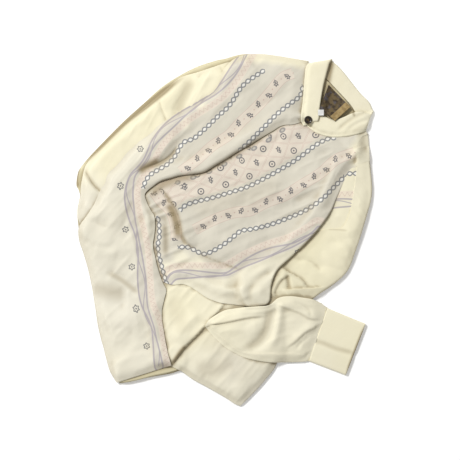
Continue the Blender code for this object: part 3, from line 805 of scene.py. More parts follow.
# hidden layers: folded cloth in one rounded body, three layers at its edge. Each edge pair is how far in
# from the outline and how high, "inner" is the way on to the centre, and a swelling is x, y, size, height
hiddenLayersSizes = {
    "centre": (0.0, -130.0),
    "gap": 3.4,
    "edge": ((3.4, 0.0), (1.4, 0.15), (0.4, 0.7), (0.5, 1.3), (2.0, 1.75), (1.2, 2.0), (0.2, 2.5),
             (0.3, 3.2), (2.2, 3.75), (1.8, 4.0), (2.6, 4.6), (5.0, 5.0), (9.0, 5.1), (12.0, 5.4)),
    "inner": (0.03, 0.07, 0.12, 0.17, 0.23, 0.30, 0.37, 0.45, 0.53, 0.62, 0.71, 0.81, 0.92, 1.0),
    "stack": (11.0, 70.0),
    "swellings": ((30, 70, 110, 4.0), (-210, -120, 80, 2.0), (60, 330, 70, 2.0), (240, -20, 60, 2.5),
                  (110, -225, 50, 2.0)),
    "neck": (243, 285, 52.0, 110.0),
    # painted shade: the dark olive band along the upper left outline and at the sleeve's tip
    "shades": (
        (1.0, 6.0, ((-100, 338), (-143, 301), (-177, 275), (-216, 245), (-252, 210), (-288, 172),
                    (-318, 139))),
        (1.0, 5.0, ((-322, 143), (-326, 128), (-328, 104), (-322, 92))),
    ),
    "outline": (
        (150, 376), (166, 368), (180, 354), (203, 341), (226, 332), (240, 317), (256, 300), (271, 284),
        (285, 269), (296, 252), (305, 236), (311, 220), (314, 210), (316, 195), (318, 175), (320, 150),
        (324, 110), (325, 90), (323, 70), (318, 50), (309, 20), (300, -5), (290, -35), (280, -65),
        (272, -85), (262, -100), (240, -120), (215, -137), (192, -153), (205, -159), (216, -165),
        (214, -185), (208, -205), (201, -225), (195, -245), (189, -262), (183, -276), (176, -288),
        (160, -289), (140, -289), (115, -289), (100, -312), (85, -335), (60, -360), (42, -380), (35, -385),
        (20, -380), (0, -366), (-40, -343), (-60, -332), (-78, -323), (-97, -311), (-120, -317),
        (-160, -324), (-200, -332), (-222, -337), (-231, -338), (-237, -333), (-246, -313), (-254, -289),
        (-261, -260), (-268, -235), (-274, -205), (-279, -175), (-286, -130), (-296, -82), (-306, -50),
        (-316, -20), (-322, 0), (-325, 20), (-326, 40), (-324, 57), (-320, 75), (-323, 88), (-328, 100),
        (-325, 125), (-318, 139), (-300, 161), (-260, 203), (-220, 243), (-180, 279), (-140, 315),
        (-100, 341), (-60, 361), (-20, 374), (0, 378), (20, 384), (40, 388), (60, 388), (100, 385),
        (125, 381),
    ),
}


def makeHiddenLayers():
    sizes = hiddenLayersSizes
    outline = evenCurve(sizes["outline"] + sizes["outline"][:1], sizes["gap"])
    centre = np.asarray(sizes["centre"])
    spokes = outline - centre
    radius = np.hypot(*spokes.T)
    rings = [np.column_stack([np.repeat(centre[None], len(outline), 0), np.zeros(len(outline))])]
    for inset, height in sizes["edge"]:
        rings.append(np.column_stack([centre + spokes * (1 - inset / radius)[:, None],
                                      np.full(len(outline), height)]))
    inset, start = sizes["edge"][-1]
    stack, reach = sizes["stack"]
    neckX, neckY, inner, outer = sizes["neck"]
    coarse = np.asarray(sizes["outline"], float)
    for share in sizes["inner"]:
        ring = centre + spokes * ((1 - inset / radius) * (1 - share))[:, None]
        x, y = ring.T
        gap = measureFrom(x, y, coarse)[0]
        rise = (stack - start) * (1 - np.exp(-gap / reach * 2))
        for cx, cy, size, more in sizes["swellings"]:
            rise += more * np.exp(-((np.hypot(x - cx, y - cy) / size) ** 2))
        away = np.clip((np.hypot(x - neckX, y - neckY) - inner) / (outer - inner), 0, 1)
        fade = np.clip(share / 0.07, 0, 1)
        rings.append(np.column_stack([ring, start + rise * away * away * (3 - 2 * away) * fade]))
    grid = np.asarray(rings)
    shape = gridShape(grid)
    closeUp(shape)
    made = objectFrom("hiddenLayers", shape, insideCotton)
    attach(made, "root")
    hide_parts("hidden_layers")
    pile.add(grid[1:])
    points = pointsOf(made)
    rim = measureFrom(points[:, 0], points[:, 1], coarse)[0]
    addValues(made, "threads", np.column_stack([points[:, 0], points[:, 1], rim]), "FLOAT_VECTOR")
    addWarmthAndPaintedLight(made, points, ((0, 0, 0.8),))
    panels.append((made, points[:, None, :], {"shades": sizes["shades"]}))


makeHiddenLayers()
print("hidden layers ready")


# The panels. "lines" cross the panel from its near to its far side, one step along after the other.
# creases: height, half width, sharpness, line. lips: height, rounding, reach, line. shades, painted shade:
# strength, half width, line. warmth: x, y and 1 for yellow, lighter cloth or 0 for grey, darker cloth,
# partly the cloth's own tone and partly painted light and shade.
backHemPanel = {
    "edges": {}, "warmAndPaintedLight": ((0, 0, 0.6),), "wide": 50, "gap": 4, "creases": (), "crumple": 0.4,
    "lines": (
        ((-236, -334), (-232, -300)), ((-220, -336), (-212, -290)), ((-190, -330), (-185, -282)),
        ((-160, -322), (-155, -275)), ((-130, -316), (-125, -268)), ((-103, -308), (-95, -272)),
    ),
}
backNeckPanel = {
    "edges": {}, "warmAndPaintedLight": ((0, 0, 0.7),), "wide": 75, "gap": 4, "creases": (), "crumple": 0.5,
    "lines": (
        ((208, 343), (196, 300)), ((229.5, 324.5), (200, 270)), ((247.5, 305.5), (203, 246)),
        ((263.5, 288.5), (222, 238)), ((277.5, 271.5), (245, 232)), ((284.5, 257.5), (262, 236)),
    ),
}
rightSleevePanel = {
    "edges": {"near": 0.5}, "wide": 95, "gap": 2.6, "puff": 3.0, "crumple": 1.0, "lift": 1.4, "grain": 62,
    "wrinkle": 0.9,
    "lips": (
        (3.2, 4, 20, ((-270, 80), (-288, 96), (-301, 117), (-313, 140))),
    ),
    # painted shade: the olive band along the upper edge, at the tip and in a broad fold
    "shades": (
        (1.0, 6.0, ((-88, 340), (-116, 319), (-143, 297), (-177, 270), (-216, 240), (-250, 208),
                    (-284, 174), (-314, 141))),
        (0.30, 13, ((-73, 337), (-90, 300), (-98, 280), (-110, 249))),
        (0.35, 6, ((-311, 134), (-299, 114), (-275, 84))),
        (0.7, 3.5, ((-311, 142), (-318, 122), (-322, 100))),
    ),
    "warmAndPaintedLight": ((-180, 230, 1.0), (-60, 320, 0.9), (-270, 140, 1.0), (-300, 60, 0.1), (-290, 20, 0.0)),
    "creases": (
        (-4.2, 14, 0.2, ((-72, 340), (-85, 305), (-98, 280), (-112, 248))),
        (2.4, 16, 0.0, ((-300, 120), (-270, 160), (-215, 215), (-150, 268))),
        (-2.6, 5, 0.4, ((-146, 288), (-138, 262), (-127, 234))),
        (-1.6, 5, 0.4, ((-35, 358), (-50, 348), (-60, 332))),
        (-1.4, 5, 0.4, ((-12, 366), (-8, 352), (4, 338))),
        (-2.2, 7, 0.4, ((-310, 140), (-300, 110), (-285, 92), (-272, 80))),
        (1.6, 9, 0.2, ((-312, 60), (-285, 45), (-262, 40))),
    ),
    "lines": (
        ((28, 375), (60, 335)), ((0, 368), (30, 318)), ((-30, 358), (5, 298)),
        ((-60, 348), (-22, 278)), ((-88, 340), (-50, 258)), ((-106, 331), (-75, 240)),
        ((-140, 301), (-100, 222)), ((-170, 276), (-128, 200)), ((-200, 250), (-150, 180)),
        ((-232, 222), (-172, 158)), ((-262, 193), (-190, 138)), ((-288, 167), (-205, 118)),
        ((-307, 142), (-215, 95)), ((-314, 118), (-222, 72)), ((-318, 95), (-228, 50)),
        ((-319, 72), (-235, 30)), ((-325, 50), (-245, 12)), ((-324, 25), (-255, -5)),
        ((-314, 2), (-262, -22)),
    ),
}
leftFrontLowerPanel = {
    "edges": {"near": 0.3, "last": 0.4}, "wide": 190, "gap": 2.6, "puff": 4.5, "reach": (2.0, 0.0),
    "crumple": 1.1, "lift": 1.0, "grain": 50, "wrinkle": 1.0,
    "shades": (
        (0.22, 14, ((-36, -212), (-62, -238), (-92, -268), (-116, -298))),
        (0.15, 2.2, ((-112, -292), (-72, -316), (-34, -336), (2, -357), (30, -374))),
        (0.22, 28, ((-70, -312), (-20, -306), (30, -288))),
        (0.13, 40, ((-60, -215), (-10, -255), (30, -300), (50, -350))),
        (0.75, 6, ((-122, -304), (-110, -286), (-96, -266), (-80, -250))),
        (0.14, 24, ((-126, -140), (-100, -195), (-84, -235))),
    ),
    "lips": (
        (4.4, 4, 30, ((-122, -304), (-112, -290), (-88, -258), (-60, -230), (-36, -203))),
        (2.4, 3, 12, ((-40, -208), (-24, -190), (-8, -172), (0, -160))),
    ),
    "warmAndPaintedLight": ((-90, -170, 1.0), (-60, -220, 0.9), (-110, -270, 0.6), (-40, -320, 0.35), (20, -300, 0.1),
             (60, -320, 0.3)),
    "creases": (
        (-2.0, 8, 0.3, ((-26, -206), (-50, -230), (-80, -258), (-104, -292))),
        (4.0, 15, 0.2, ((-60, -180), (-85, -210), (-110, -245))),
        (-2.4, 16, 0.0, ((-60, -318), (-20, -313), (10, -300), (40, -285))),
        (2.0, 14, 0.2, ((-20, -225), (-30, -265), (-60, -300))),
        (1.6, 16, 0.0, ((70, -290), (40, -330), (20, -365))),
    ),
    "lines": (
        ((-148, -280), (-150, -225), (-151, -170), (-152, -120)),
        ((-120, -297), (-125, -235), (-127, -170), (-128, -106)),
        ((-97, -309), (-99, -240), (-99, -170), (-98, -102)),
        ((-70, -328), (-67, -255), (-63, -185), (-60, -114)),
        ((-35, -347), (-32, -275), (-28, -200), (-25, -130)),
        ((0, -367), (5, -295), (12, -215), (18, -145)),
        ((20, -380), (42, -315), (62, -235), (62, -150)),
        ((35, -387), (85, -335), (118, -281), (112, -172)),
    ),
}
leftFrontSidePanel = {
    "edges": {"near": "open", "far": "open", "first": 0.0, "last": "open"}, "ease": 20, "late": True,
    "sink": 0.4, "dusk": 0.6,
    "warmAndPaintedLight": ((0, 0, 0.8),), "wide": 45, "gap": 2.6, "puff": 4.5, "crumple": 1.0, "grain": -55,
    "wrinkle": 0.9,
    "creases": (),
    "lines": (
        ((259, 160), (299, 158)), ((245, 120), (296, 122)), ((232, 90), (292, 92)),
        ((220, 62), (287, 62)), ((206, 36), (280, 30)), ((190, 14), (264, 1)),
        ((172, -6), (228, -4)), ((150, -26), (194, -15)),
    ),
}
leftSleeveUpperPanel = {
    "edges": {"far": 0.85, "near": "open", "first": 0.0}, "ease": 20, "wide": 120, "gap": 2.4, "puff": 4.5,
    "reach": (2.0, 2.0), "crumple": 1.0, "lift": 1.4, "grain": -55, "wrinkle": 0.9,
    "shades": ((0.25, 3, ((222, 2), (248, 1), (271, -2))),),
    "warmAndPaintedLight": ((280, -30, 0.9), (200, -60, 1.0), (150, -120, 0.8), (305, 100, 0.7)),
    "lips": (
        (3.2, 3.5, 14, ((219, -124), (196, -126), (160, -128), (124, -131))),
        (3.0, 3.5, 14, ((182, -128), (172, -112), (157, -101), (140, -92), (122, -82))),
        (3.0, 3.5, 14, ((108, -150), (112, -128), (122, -112), (138, -100))),
    ),
    "creases": (
        (-6.0, 4.5, 0.4, ((137, -98), (139, -112), (141, -129))),
        (-2.4, 8, 0.3, ((150, -62), (190, -70), (215, -95))),
        (2.2, 24, 0.0, ((300, 60), (280, 0), (250, -60))),
        (-1.8, 12, 0.2, ((300, -10), (262, -22), (225, -30))),
        (-1.6, 10, 0.3, ((262, -92), (225, -80), (190, -78))),
    ),
    "lines": (
        ((297, 180), (315.5, 180)), ((293, 147), (317, 148)), ((290, 122), (320, 120)),
        ((286, 92), (322, 90)),
        ((281, 62), (319, 62)), ((274, 32), (311, 33)), ((258, 5), (303, 6)),
        ((222, 1), (295, -20)), ((188, -10), (286, -46)), ((150, -38), (277, -72)),
        ((106, -66), (268, -90)), ((66, -90), (255, -105)), ((48, -112), (236, -120)),
        ((44, -140), (213, -136)), ((58, -168), (189, -154)),
    ),
}
leftFrontPanel = {
    "edges": {"far": ((0, 0.2), (0.30, 0.25), (0.40, 0.7), (0.5, 0.9), (0.74, 0.9), (0.84, 0.3), (0.9, 0.0),
                      (1, 0.0)), "last": 0.0},
    "wide": 250, "gap": 2.6, "puff": 5.0, "crumple": 1.3, "grain": 24, "wrinkle": 1.5, "ease": 30,
    "shades": (
        (0.55, 11, ((-60, 122), (-100, 114), (-121, 105), (-141, 96), (-156, 84), (-166, 66))),
        (0.72, 10, ((-128, 62), (-116, 42), (-108, 20), (-104, 0), (-103, -22))),
        (0.16, 34, ((-90, 30), (-30, 52), (30, 68), (90, 92), (140, 120))),
        (0.42, 8, ((-133, 20), (-130, -20), (-132, -60))),
        (0.40, 7, ((-162, -24), (-158, -60), (-148, -92), (-134, -122))),
        (0.25, 10, ((-60, -50), (-30, -66), (5, -78))),
        (0.2, 7, ((106, -86), (88, -98), (68, -113), (57, -130), (55, -148), (60, -168))),
    ),
    "lips": (
        (5.5, 4.5, 34, ((-140, 96), (-128, 78), (-115, 57), (-105, 38), (-99, 20), (-96, 2), (-93, -12),
                        (-84, -28), (-66, -40))),
        (2.0, 4, 18, ((-60, -48), (-30, -64), (5, -76), (40, -88))),
    ),
    "warmAndPaintedLight": ((40, -140, 0.35), (-60, -120, 0.5), (230, 60, 0.5), (290, 200, 0.6)),
    "creases": (
        (-3.0, 10, 0.2, ((-158, 70), (-146, 48), (-134, 30), (-128, 0), (-128, -40))),
        (1.6, 7, 0.2, ((-138, 20), (-135, -20), (-134, -60))),
        (4.0, 26, 0.0, ((-40, 40), (40, 60), (120, 85), (200, 120))),
        (-4.0, 13, 0.3, ((-84, -26), (-60, -44), (-30, -60), (5, -72), (40, -86))),
        (3.0, 20, 0.1, ((-40, -18), (0, -38), (45, -48), (90, -40))),
        (-2.4, 12, 0.3, ((-40, 72), (-10, 60), (25, 54), (60, 62))),
        (3.0, 22, 0.0, ((240, 150), (225, 90), (190, 40), (140, -10), (100, -50))),
        (-2.8, 8, 0.1, ((108, -84), (90, -96), (68, -112), (56, -130), (54, -148), (60, -170))),
        (2.6, 10, 0.1, ((96, -78), (76, -92), (52, -108), (40, -130), (38, -160))),
        (1.6, 10, 0.1, ((104, -108), (84, -122), (76, -140), (80, -164))),
        (2.4, 14, 0.2, ((-100, -105), (-40, -120), (20, -135))),
        (-2.6, 10, 0.3, ((-96, -112), (-70, -122), (-45, -138))),
        (-1.6, 9, 0.2, ((245, 203), (258, 186), (272, 172))),
        (-1.8, 6, 0.4, ((245, 228), (254, 234), (262, 240))),
        (-1.6, 9, 0.2, ((130, 222), (100, 180), (60, 150))),
    ),
    "lines": (
        ((-190, 92), (-152, -108)), ((-158, 118), (-118, -120)), ((-124, 132), (-88, -120)),
        ((-92, 140), (-62, -134)), ((-60, 144), (-38, -150)), ((-30, 158), (-10, -160)),
        ((0, 175), (20, -164)), ((30, 192), (48, -168)), ((62, 210), (75, -168)),
        ((95, 230), (97, -158)), ((128, 245), (102, -120)), ((155, 243), (115, -88)),
        ((179, 229), (145, -60)), ((205, 214), (178, -28)), ((232, 209), (208, 6)),
        ((258, 209), (232, 40)), ((285, 214), (247, 76)), ((298, 218), (264, 112)),
        ((306, 219), (282, 134)), ((311, 217), (301, 147)), ((316, 211), (319, 152)),
    ),
}
leftForearmPanel = {
    "edges": {"near": 0.45, "far": ((0, 0.1), (0.4, 0.15), (0.5, 0.5), (1, 0.5)), "first": 0.3},
    "wide": 115, "gap": 2.2, "puff": 4.5, "crumple": 0.9, "lift": 1.2, "grain": 20, "wrinkle": 0.7,
    "dusk": 0.4,
    "shades": ((0.3, 10, ((103, -160), (97, -190), (88, -222), (70, -247), (34, -262))),),
    "lips": (
        (3.0, 4, 16, ((-46, -211), (-27, -207), (-14, -206), (13, -201), (53, -193), (92, -189))),
        (1.8, 3, 12, ((108, -162), (136, -173), (166, -184), (186, -196), (214, -198))),
        (1.8, 3.5, 14, ((132, -262), (154, -247), (176, -227), (194, -217), (216, -204))),
        (1.2, 2, 7, ((182, -272), (100, -270), (45, -268), (20, -258), (-14, -229), (-34, -217))),
    ),
    "warmAndPaintedLight": ((60, -230, 0.5), (-20, -200, 0.7), (180, -220, 0.5)),
    "creases": (
        (-7.5, 12, 0.15, ((107, -156), (102, -190), (94, -222), (78, -247), (50, -261))),
        (3.6, 10, 0.1, ((124, -160), (119, -195), (112, -230), (96, -258))),
        (2.4, 14, 0.0, ((60, -200), (66, -222), (50, -240))),
        (1.6, 9, 0.2, ((0, -224), (30, -219), (62, -216))),
        (2.8, 10, 0.3, ((112, -158), (136, -168), (165, -180), (195, -190))),
        (-1.8, 4, 0.5, ((150, -158), (172, -166), (188, -180), (188, -192))),
        (3.0, 9, 0.3, ((205, -212), (176, -222), (150, -244))),
        (-1.8, 4, 0.5, ((186, -236), (170, -246), (156, -262))),
        (-1.6, 2.6, 0.5, ((183, -272), (179, -279), (178, -288))),
    ),
    "lines": (
        ((-43, -208), (-43, -213)), ((-33, -195), (-26, -233)), ((-3, -177), (-1, -256)),
        ((20, -172), (22, -270)), ((44, -169), (46, -281)), ((72, -167), (76, -288)),
        ((97, -164), (100, -291)), ((117, -149), (122, -292)), ((142, -145), (146, -292)),
        ((168, -148), (165, -291)), ((197, -154), (178, -290)), ((226.5, -171.5), (186.5, -290)),
    ),
}
rightFrontPanel = {
    "edges": {
        "near": ((0, 0.3), (0.12, 0.2), (0.20, 0.0), (0.57, 0.0), (0.62, 0.5), (1, 0.5)),
        "far": ((0, 0.1), (0.08, 0.35), (0.17, 0.9), (0.22, 1.0), (0.44, 1.0), (0.49, 0.5), (0.53, 0.34),
                (0.66, 0.34), (0.71, 0.6), (0.76, 0.4), (1, 0.35)),
        "last": 0.4,
    },
    "wide": 150, "gap": 2.6, "roll": 8.0, "puff": 4.0, "reach": (4.0, 0.0), "crumple": 1.1, "lift": 2.6,
    "grain": 47, "wrinkle": 0.9,
    "shades": (
        (0.7, 9, ((-192, 126), (-176, 136), (-158, 146), (-140, 153))),
        (0.34, 6, ((150, 231), (125, 228), (103, 215), (78, 200), (50, 183), (22, 167), (0, 153),
                   (-22, 140), (-45, 126), (-72, 121), (-98, 118), (-120, 112))),
        (0.15, 2.2, ((-232, -323), (-180, -313), (-118, -288))),
        (0.28, 20, ((-300, -128), (-262, -134), (-214, -142))),
        (0.34, 7, ((-264, -92), (-240, -102), (-214, -120), (-186, -142))),
    ),
    "lips": (
        (2.4, 4, 26, ((-182, 132), (-165, 141), (-143, 149), (-119, 166), (-106, 186))),
    ),
    "warmAndPaintedLight": ((-240, -150, 0.05), (-220, -280, 0.2), (60, 350, 0.7), (140, 360, 0.7), (-230, 100, 0.1)),
    "creases": (
        (-4.5, 8, 0.4, ((-195, 125), (-182, 132), (-165, 141), (-143, 149), (-119, 166), (-106, 186))),
        (3.4, 12, 0.1, ((-186, 84), (-178, 50), (-170, 20), (-170, -20))),
        (-2.6, 10, 0.2, ((-190, 70), (-186, 30), (-182, -20), (-172, -70))),
        (3.5, 14, 0.0, ((90, 232), (40, 200), (-10, 172), (-60, 146), (-120, 135))),
        (2.5, 26, 0.0, ((120, 340), (40, 285), (-30, 225), (-90, 175))),
        (-4.4, 12, 0.3, ((-258, -86), (-225, -110), (-188, -142))),
        (-5.5, 26, 0.0, ((-300, -138), (-262, -150), (-212, -152))),
        (4.0, 30, 0.0, ((-262, -215), (-225, -206), (-180, -196))),
        (3.6, 24, 0.0, ((-240, 60), (-246, -10), (-232, -66))),
        (-3.0, 14, 0.3, ((-302, 22), (-262, 8), (-232, -18))),
        (-2.4, 16, 0.2, ((-268, -225), (-235, -215), (-195, -232))),
        (2.6, 14, 0.2, ((-290, -40), (-262, -48), (-235, -58))),
        (-1.6, 10, 0.2, ((-150, 215), (-190, 160), (-215, 110))),
        (-1.8, 8, 0.3, ((150, 330), (110, 290), (60, 262))),
        (1.8, 10, 0.3, ((158, 300), (120, 268), (80, 240))),
    ),
    "lines": (
        ((184, 369), (170, 238)), ((152, 374), (150, 232)), ((115, 380), (125, 229)),
        ((80, 384), (103, 216)), ((45, 382), (78, 201)), ((18, 371), (50, 184)),
        ((-5, 345), (22, 168)), ((-22, 305), (0, 154)), ((-60, 279), (-22, 141)),
        ((-100, 256), (-45, 127)), ((-140, 229), (-72, 122)), ((-167, 207), (-98, 119)),
        ((-192, 188), (-120, 113)), ((-216, 164), (-140, 107)), ((-236, 142), (-156, 97)),
        ((-255, 122), (-175, 80)), ((-263, 100), (-171, 60)), ((-272, 82), (-163, 44)),
        ((-284, 55), (-155, 30)), ((-302, 28), (-153, 10)), ((-318, 5), (-155, -12)),
        ((-318, -22), (-158, -34)), ((-309, -50), (-153, -60)), ((-300, -80), (-146, -88)),
        ((-294, -105), (-137, -114)), ((-289, -130), (-129, -132)), ((-285, -155), (-133, -152)),
        ((-281, -180), (-138, -175)), ((-277, -208), (-138, -198)), ((-271, -235), (-134, -222)),
        ((-264, -260), (-130, -246)), ((-257, -288), (-125, -270)), ((-249, -313), (-120, -288)),
        ((-235, -335), (-118, -298)),
    ),
}

# in the order in which they lie
for plan in (
    ("backHem", "back", "cotton_inside", backHemPanel, insideCotton),
    ("backNeck", "back_neck", "cotton_inside", backNeckPanel, insideCotton),
    ("rightSleeve", "sleeve_right", "cotton", rightSleevePanel, ivoryCotton),
    ("leftFrontLower", "front_left_lower", "cotton", leftFrontLowerPanel, ivoryCotton),
    ("leftFrontSide", "front_left_side", "cotton_printed", leftFrontSidePanel, printCotton),
    ("leftSleeveUpper", "sleeve_left_upper", "cotton", leftSleeveUpperPanel, ivoryCotton),
    ("leftFront", "front_left", "cotton_printed", leftFrontPanel, printCotton),
    ("leftForearm", "sleeve_left_lower", "cotton", leftForearmPanel, ivoryCotton),
    ("rightFront", "front_right", "cotton_printed", rightFrontPanel, printCotton),
):
    makePanel(*plan)
for made, grid, settings in panels:
    if made.name in printLines:
        printValues(made, grid, printLines[made.name])
print("print laid out")


# cuff: a flattened tube of double cloth, open at both ends, with painted shade along its crease and in a
# dark strip at its far open end. Its corners are the ends of the upper edge, then of the lower edge
cuffSizes = {
    "corners": ((225, -172), (310, -207), (185, -289), (266, -320)),
    "height": 8.6, "round": 4.2, "wall": 2.0,
    # painted shade along the crease and in the dark strip at the open end
    "shades": (
        (0.3, 6, ((178, -243), (188, -245), (212, -248), (244, -261), (280, -270), (292, -273))),
        (0.75, 3.5, ((310, -207), (288, -262), (266, -320))),
    ),
}


def cuffRing(share, width):
    # one ring of the tube as places across and heights: upper layer, fold, lower layer, fold
    half, bend = cuffSizes["height"] / 2, cuffSizes["round"]
    ring = []
    for run in np.linspace(bend, width - bend, 36):
        dip = 0.5 * math.sin(share * math.pi) * math.sin(math.pi * (run - bend) / (width - 2 * bend))
        crease = -1.5 * math.exp(-(((run - 0.61 * width) / 6) ** 2))
        crease -= 0.8 * math.exp(-abs(run - 0.9 * width) / 3) * (1 - share)
        ring.append((run, half + dip + crease))
    turns = [math.radians(angle) for angle in (60, 40, 20, 0, -20, -40, -60)]
    ring += [(width - bend + bend * math.cos(turn), half * math.sin(turn)) for turn in turns]
    ring += [(run, -half) for run in np.linspace(width - bend, bend, 36)]
    ring += [(bend - bend * math.cos(turn), half * math.sin(turn)) for turn in reversed(turns)]
    return ring + ring[:1]


def makeCuff():
    sizes = cuffSizes
    a, b, c, d = (np.array(corner, float) for corner in sizes["corners"])
    rows = []
    for share in np.linspace(0, 1, 32):
        upper, lower = a + (b - a) * share, c + (d - c) * share
        width = np.hypot(*(upper - lower))
        across = (lower - upper) / width
        ring = cuffRing(share, width)
        rows.append([(*(upper + across * run), high + sizes["height"] / 2) for run, high in ring])
    grid = np.asarray(rows)
    shape = gridShape(grid)
    closeUp(shape)
    made = objectFrom("cuff", shape, ivoryCotton)
    wall = made.modifiers.new("cuffWall", "SOLIDIFY")
    wall.thickness, wall.offset = sizes["wall"] * mm, -1
    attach(made, "root")
    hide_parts("cuff_left")
    points = pointsOf(made)
    x, y = points[:, 0], points[:, 1]
    rim = np.minimum(measureFrom(x, y, (a, c))[0], measureFrom(x, y, (b, d))[0])
    addValues(made, "threads", np.column_stack([x, y, rim]), "FLOAT_VECTOR")
    addWarmthAndPaintedLight(made, points, ((250, -200, 0.8), (290, -260, 0.9), (230, -300, 0.6)))
    pile.add(grid[:, :36])
    panels.append((made, points[:, None, :], sizes))


makeCuff()


# collar stand: seam x, y, height, then free edge x, y, height, from the buttoned end round the neck
collarSizes = {
    # dusk scales the painted shade worked out from the heap
    "wall": 2.0, "dusk": 0.2,
    "creases": (
        (-1.9, 5, 0.4, ((318, 262), (290, 250), (262, 232), (246, 216))),
        (-1.5, 4, 0.4, ((316, 244), (290, 234), (268, 220))),
        (0.9, 6, 0.3, ((314, 252), (288, 242), (262, 224))),
        (-0.9, 4, 0.4, ((312, 230), (286, 222), (262, 212))),
    ),
    # painted shade in the creases, along the seam and inside the back of the stand
    "shades": (
        (0.5, 3.2, ((280, 266), (283, 252), (286, 248))),
        (0.24, 5, ((318, 262), (290, 250), (262, 232), (246, 216))),
        (0.2, 4, ((322, 236), (300, 226), (276, 214))),
        (0.8, 7, ((237, 378), (231, 352), (226, 330), (219, 306))),
    ),
    "lines": (
        (172, 229, 18.6, 201, 233, 18.2), (167, 243, 18.6, 206, 246, 18.2),
        (168, 262, 18.4, 208, 268, 17.4), (171, 285, 17.4, 211, 290, 16.4),
        (173, 310, 16.2, 215, 312, 15.6), (175, 335, 15.2, 221, 336, 14.4),
        (177, 354, 14.0, 227, 357, 12.2), (180, 363, 12.4, 231, 369, 10.2), (183, 366, 10.0, 236, 376, 6.4),
        (188, 362, 7.6, 238, 371, 2.6), (208, 345, 7.4, 249, 362, 1.8), (229, 327, 8.4, 265, 344, 1.6),
        (247, 308, 8.6, 282, 322, 1.6), (263, 291, 8.6, 300, 300, 1.6), (277, 275, 8.6, 317, 283, 1.8),
        (287, 260, 8.6, 324, 268, 2.4), (299, 240, 8.4, 327, 262, 5.0), (311, 226, 10.8, 322, 256, 9.2),
        (308, 217, 14.2, 312, 256, 13.0), (292, 211, 15.0, 300, 260, 14.4),
        (270, 206, 15.2, 283, 258, 14.4), (246, 204, 15.2, 258, 247, 14.2),
        (224, 206, 15.0, 238, 242, 14.2), (202, 213, 14.8, 220, 249, 14.0),
        (190, 221, 14.6, 204, 253, 13.8), (181, 229, 14.4, 193, 256, 13.6),
    ),
}


def makeCollar():
    sizes = collarSizes
    table = np.asarray(sizes["lines"], float).reshape(-1, 2, 3)
    lines = smoothCurve(table, np.linspace(0, len(table) - 1, 10 * len(table) - 9))
    shares = np.linspace(0, 1, 15)[None, :, None]
    grid = lines[:, :1] * (1 - shares) + lines[:, 1:] * shares
    x, y = grid[..., 0], grid[..., 1]
    bow = 0.5 * np.sin(np.pi * shares[..., 0])
    grid[..., 2] += bow + 0.25 * softNoise(x, y, 14, 4) + creaseHeights(x, y, sizes["creases"])
    width = np.hypot(*(grid[:, -1, :2] - grid[:, 0, :2]).T)[:, None]
    across = shares[0, :, 0] * width
    steps = np.hypot(*(lines[1:, 0, :2] - lines[:-1, 0, :2]).T)
    run = np.concatenate([[0.0], np.cumsum(steps)])[:, None]
    # in front the seam lies on the fronts, and the band rises from it
    rise = np.clip(np.minimum(across / 11, run / 10 + 0 * across), 0, 1)
    front = np.interp(run / run[-1], (0.27, 0.32, 0.66, 0.69), (1, 0, 0, 1))
    rise = 1 - (1 - rise * rise * (3 - 2 * rise)) * front
    seam = pile.look(pile.bare, x, y) + np.where(run / run[-1] > 0.6, -0.4, 0.5)
    grid[..., 2] = seam * (1 - rise) + grid[..., 2] * rise
    made = sheetObject("collarStand", grid, ivoryCotton, sizes["wall"], offset=0)
    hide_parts("collar")
    threads = np.dstack([across, run + 0 * across, np.minimum(across, width - across)])
    addValues(made, "threads", threads.reshape(-1, 3), "FLOAT_VECTOR")
    addWarmthAndPaintedLight(made, grid, ((0, 0, 0.75),))
    panels.append((made, grid, sizes))
    pile.add(grid + np.array([0, 0, sizes["wall"] / 2]))


makeCollar()
print("cuff and collar ready")


# collar button: its half section as radius and height, turned round, and its crossed thread
buttonSizes = {
    "place": (182.5, 241.5, 20.2),
    "section": (
        (0, 0.6), (5.5, 0.6), (6.6, 0.1), (7.6, 0.3), (8.4, 0.9), (8.8, 1.7), (8.5, 2.5), (7.8, 3.1),
        (7.1, 3.2), (6.4, 3.0), (5.8, 2.5), (5.2, 2.25), (4.0, 2.2), (0, 2.2),
    ),
    "steps": 64, "thread": 0.26, "spread": 2.0, "turn": 0.6,
}


def turnedShape(section, place, steps):
    # a half section turned round the upright through the place
    x, y, z = place
    radii, heights = np.transpose(section)
    turns = np.linspace(0, 2 * math.pi, steps + 1)[:, None]
    shape = gridShape(np.dstack([x + radii * np.cos(turns), y + radii * np.sin(turns),
                                 z + heights + 0 * turns]))
    closeUp(shape)
    return shape


def makeButton():
    sizes = buttonSizes
    finish = Finish("darkButton", 0.32, coat=0.35)
    finish.shader.inputs["Coat Roughness"].default_value = 0.15
    swirl = finish.cloud(4, 4.0)
    colour = finish.mixed((swirl - 0.45) * 4, tone(28, 25, 22), tone(74, 58, 40))
    look = finish.paint(colour, swirl, 0.1, 0.1)
    made = objectFrom("collarButton", turnedShape(sizes["section"], sizes["place"], sizes["steps"]), look)
    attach(made, "root")
    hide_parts("button")


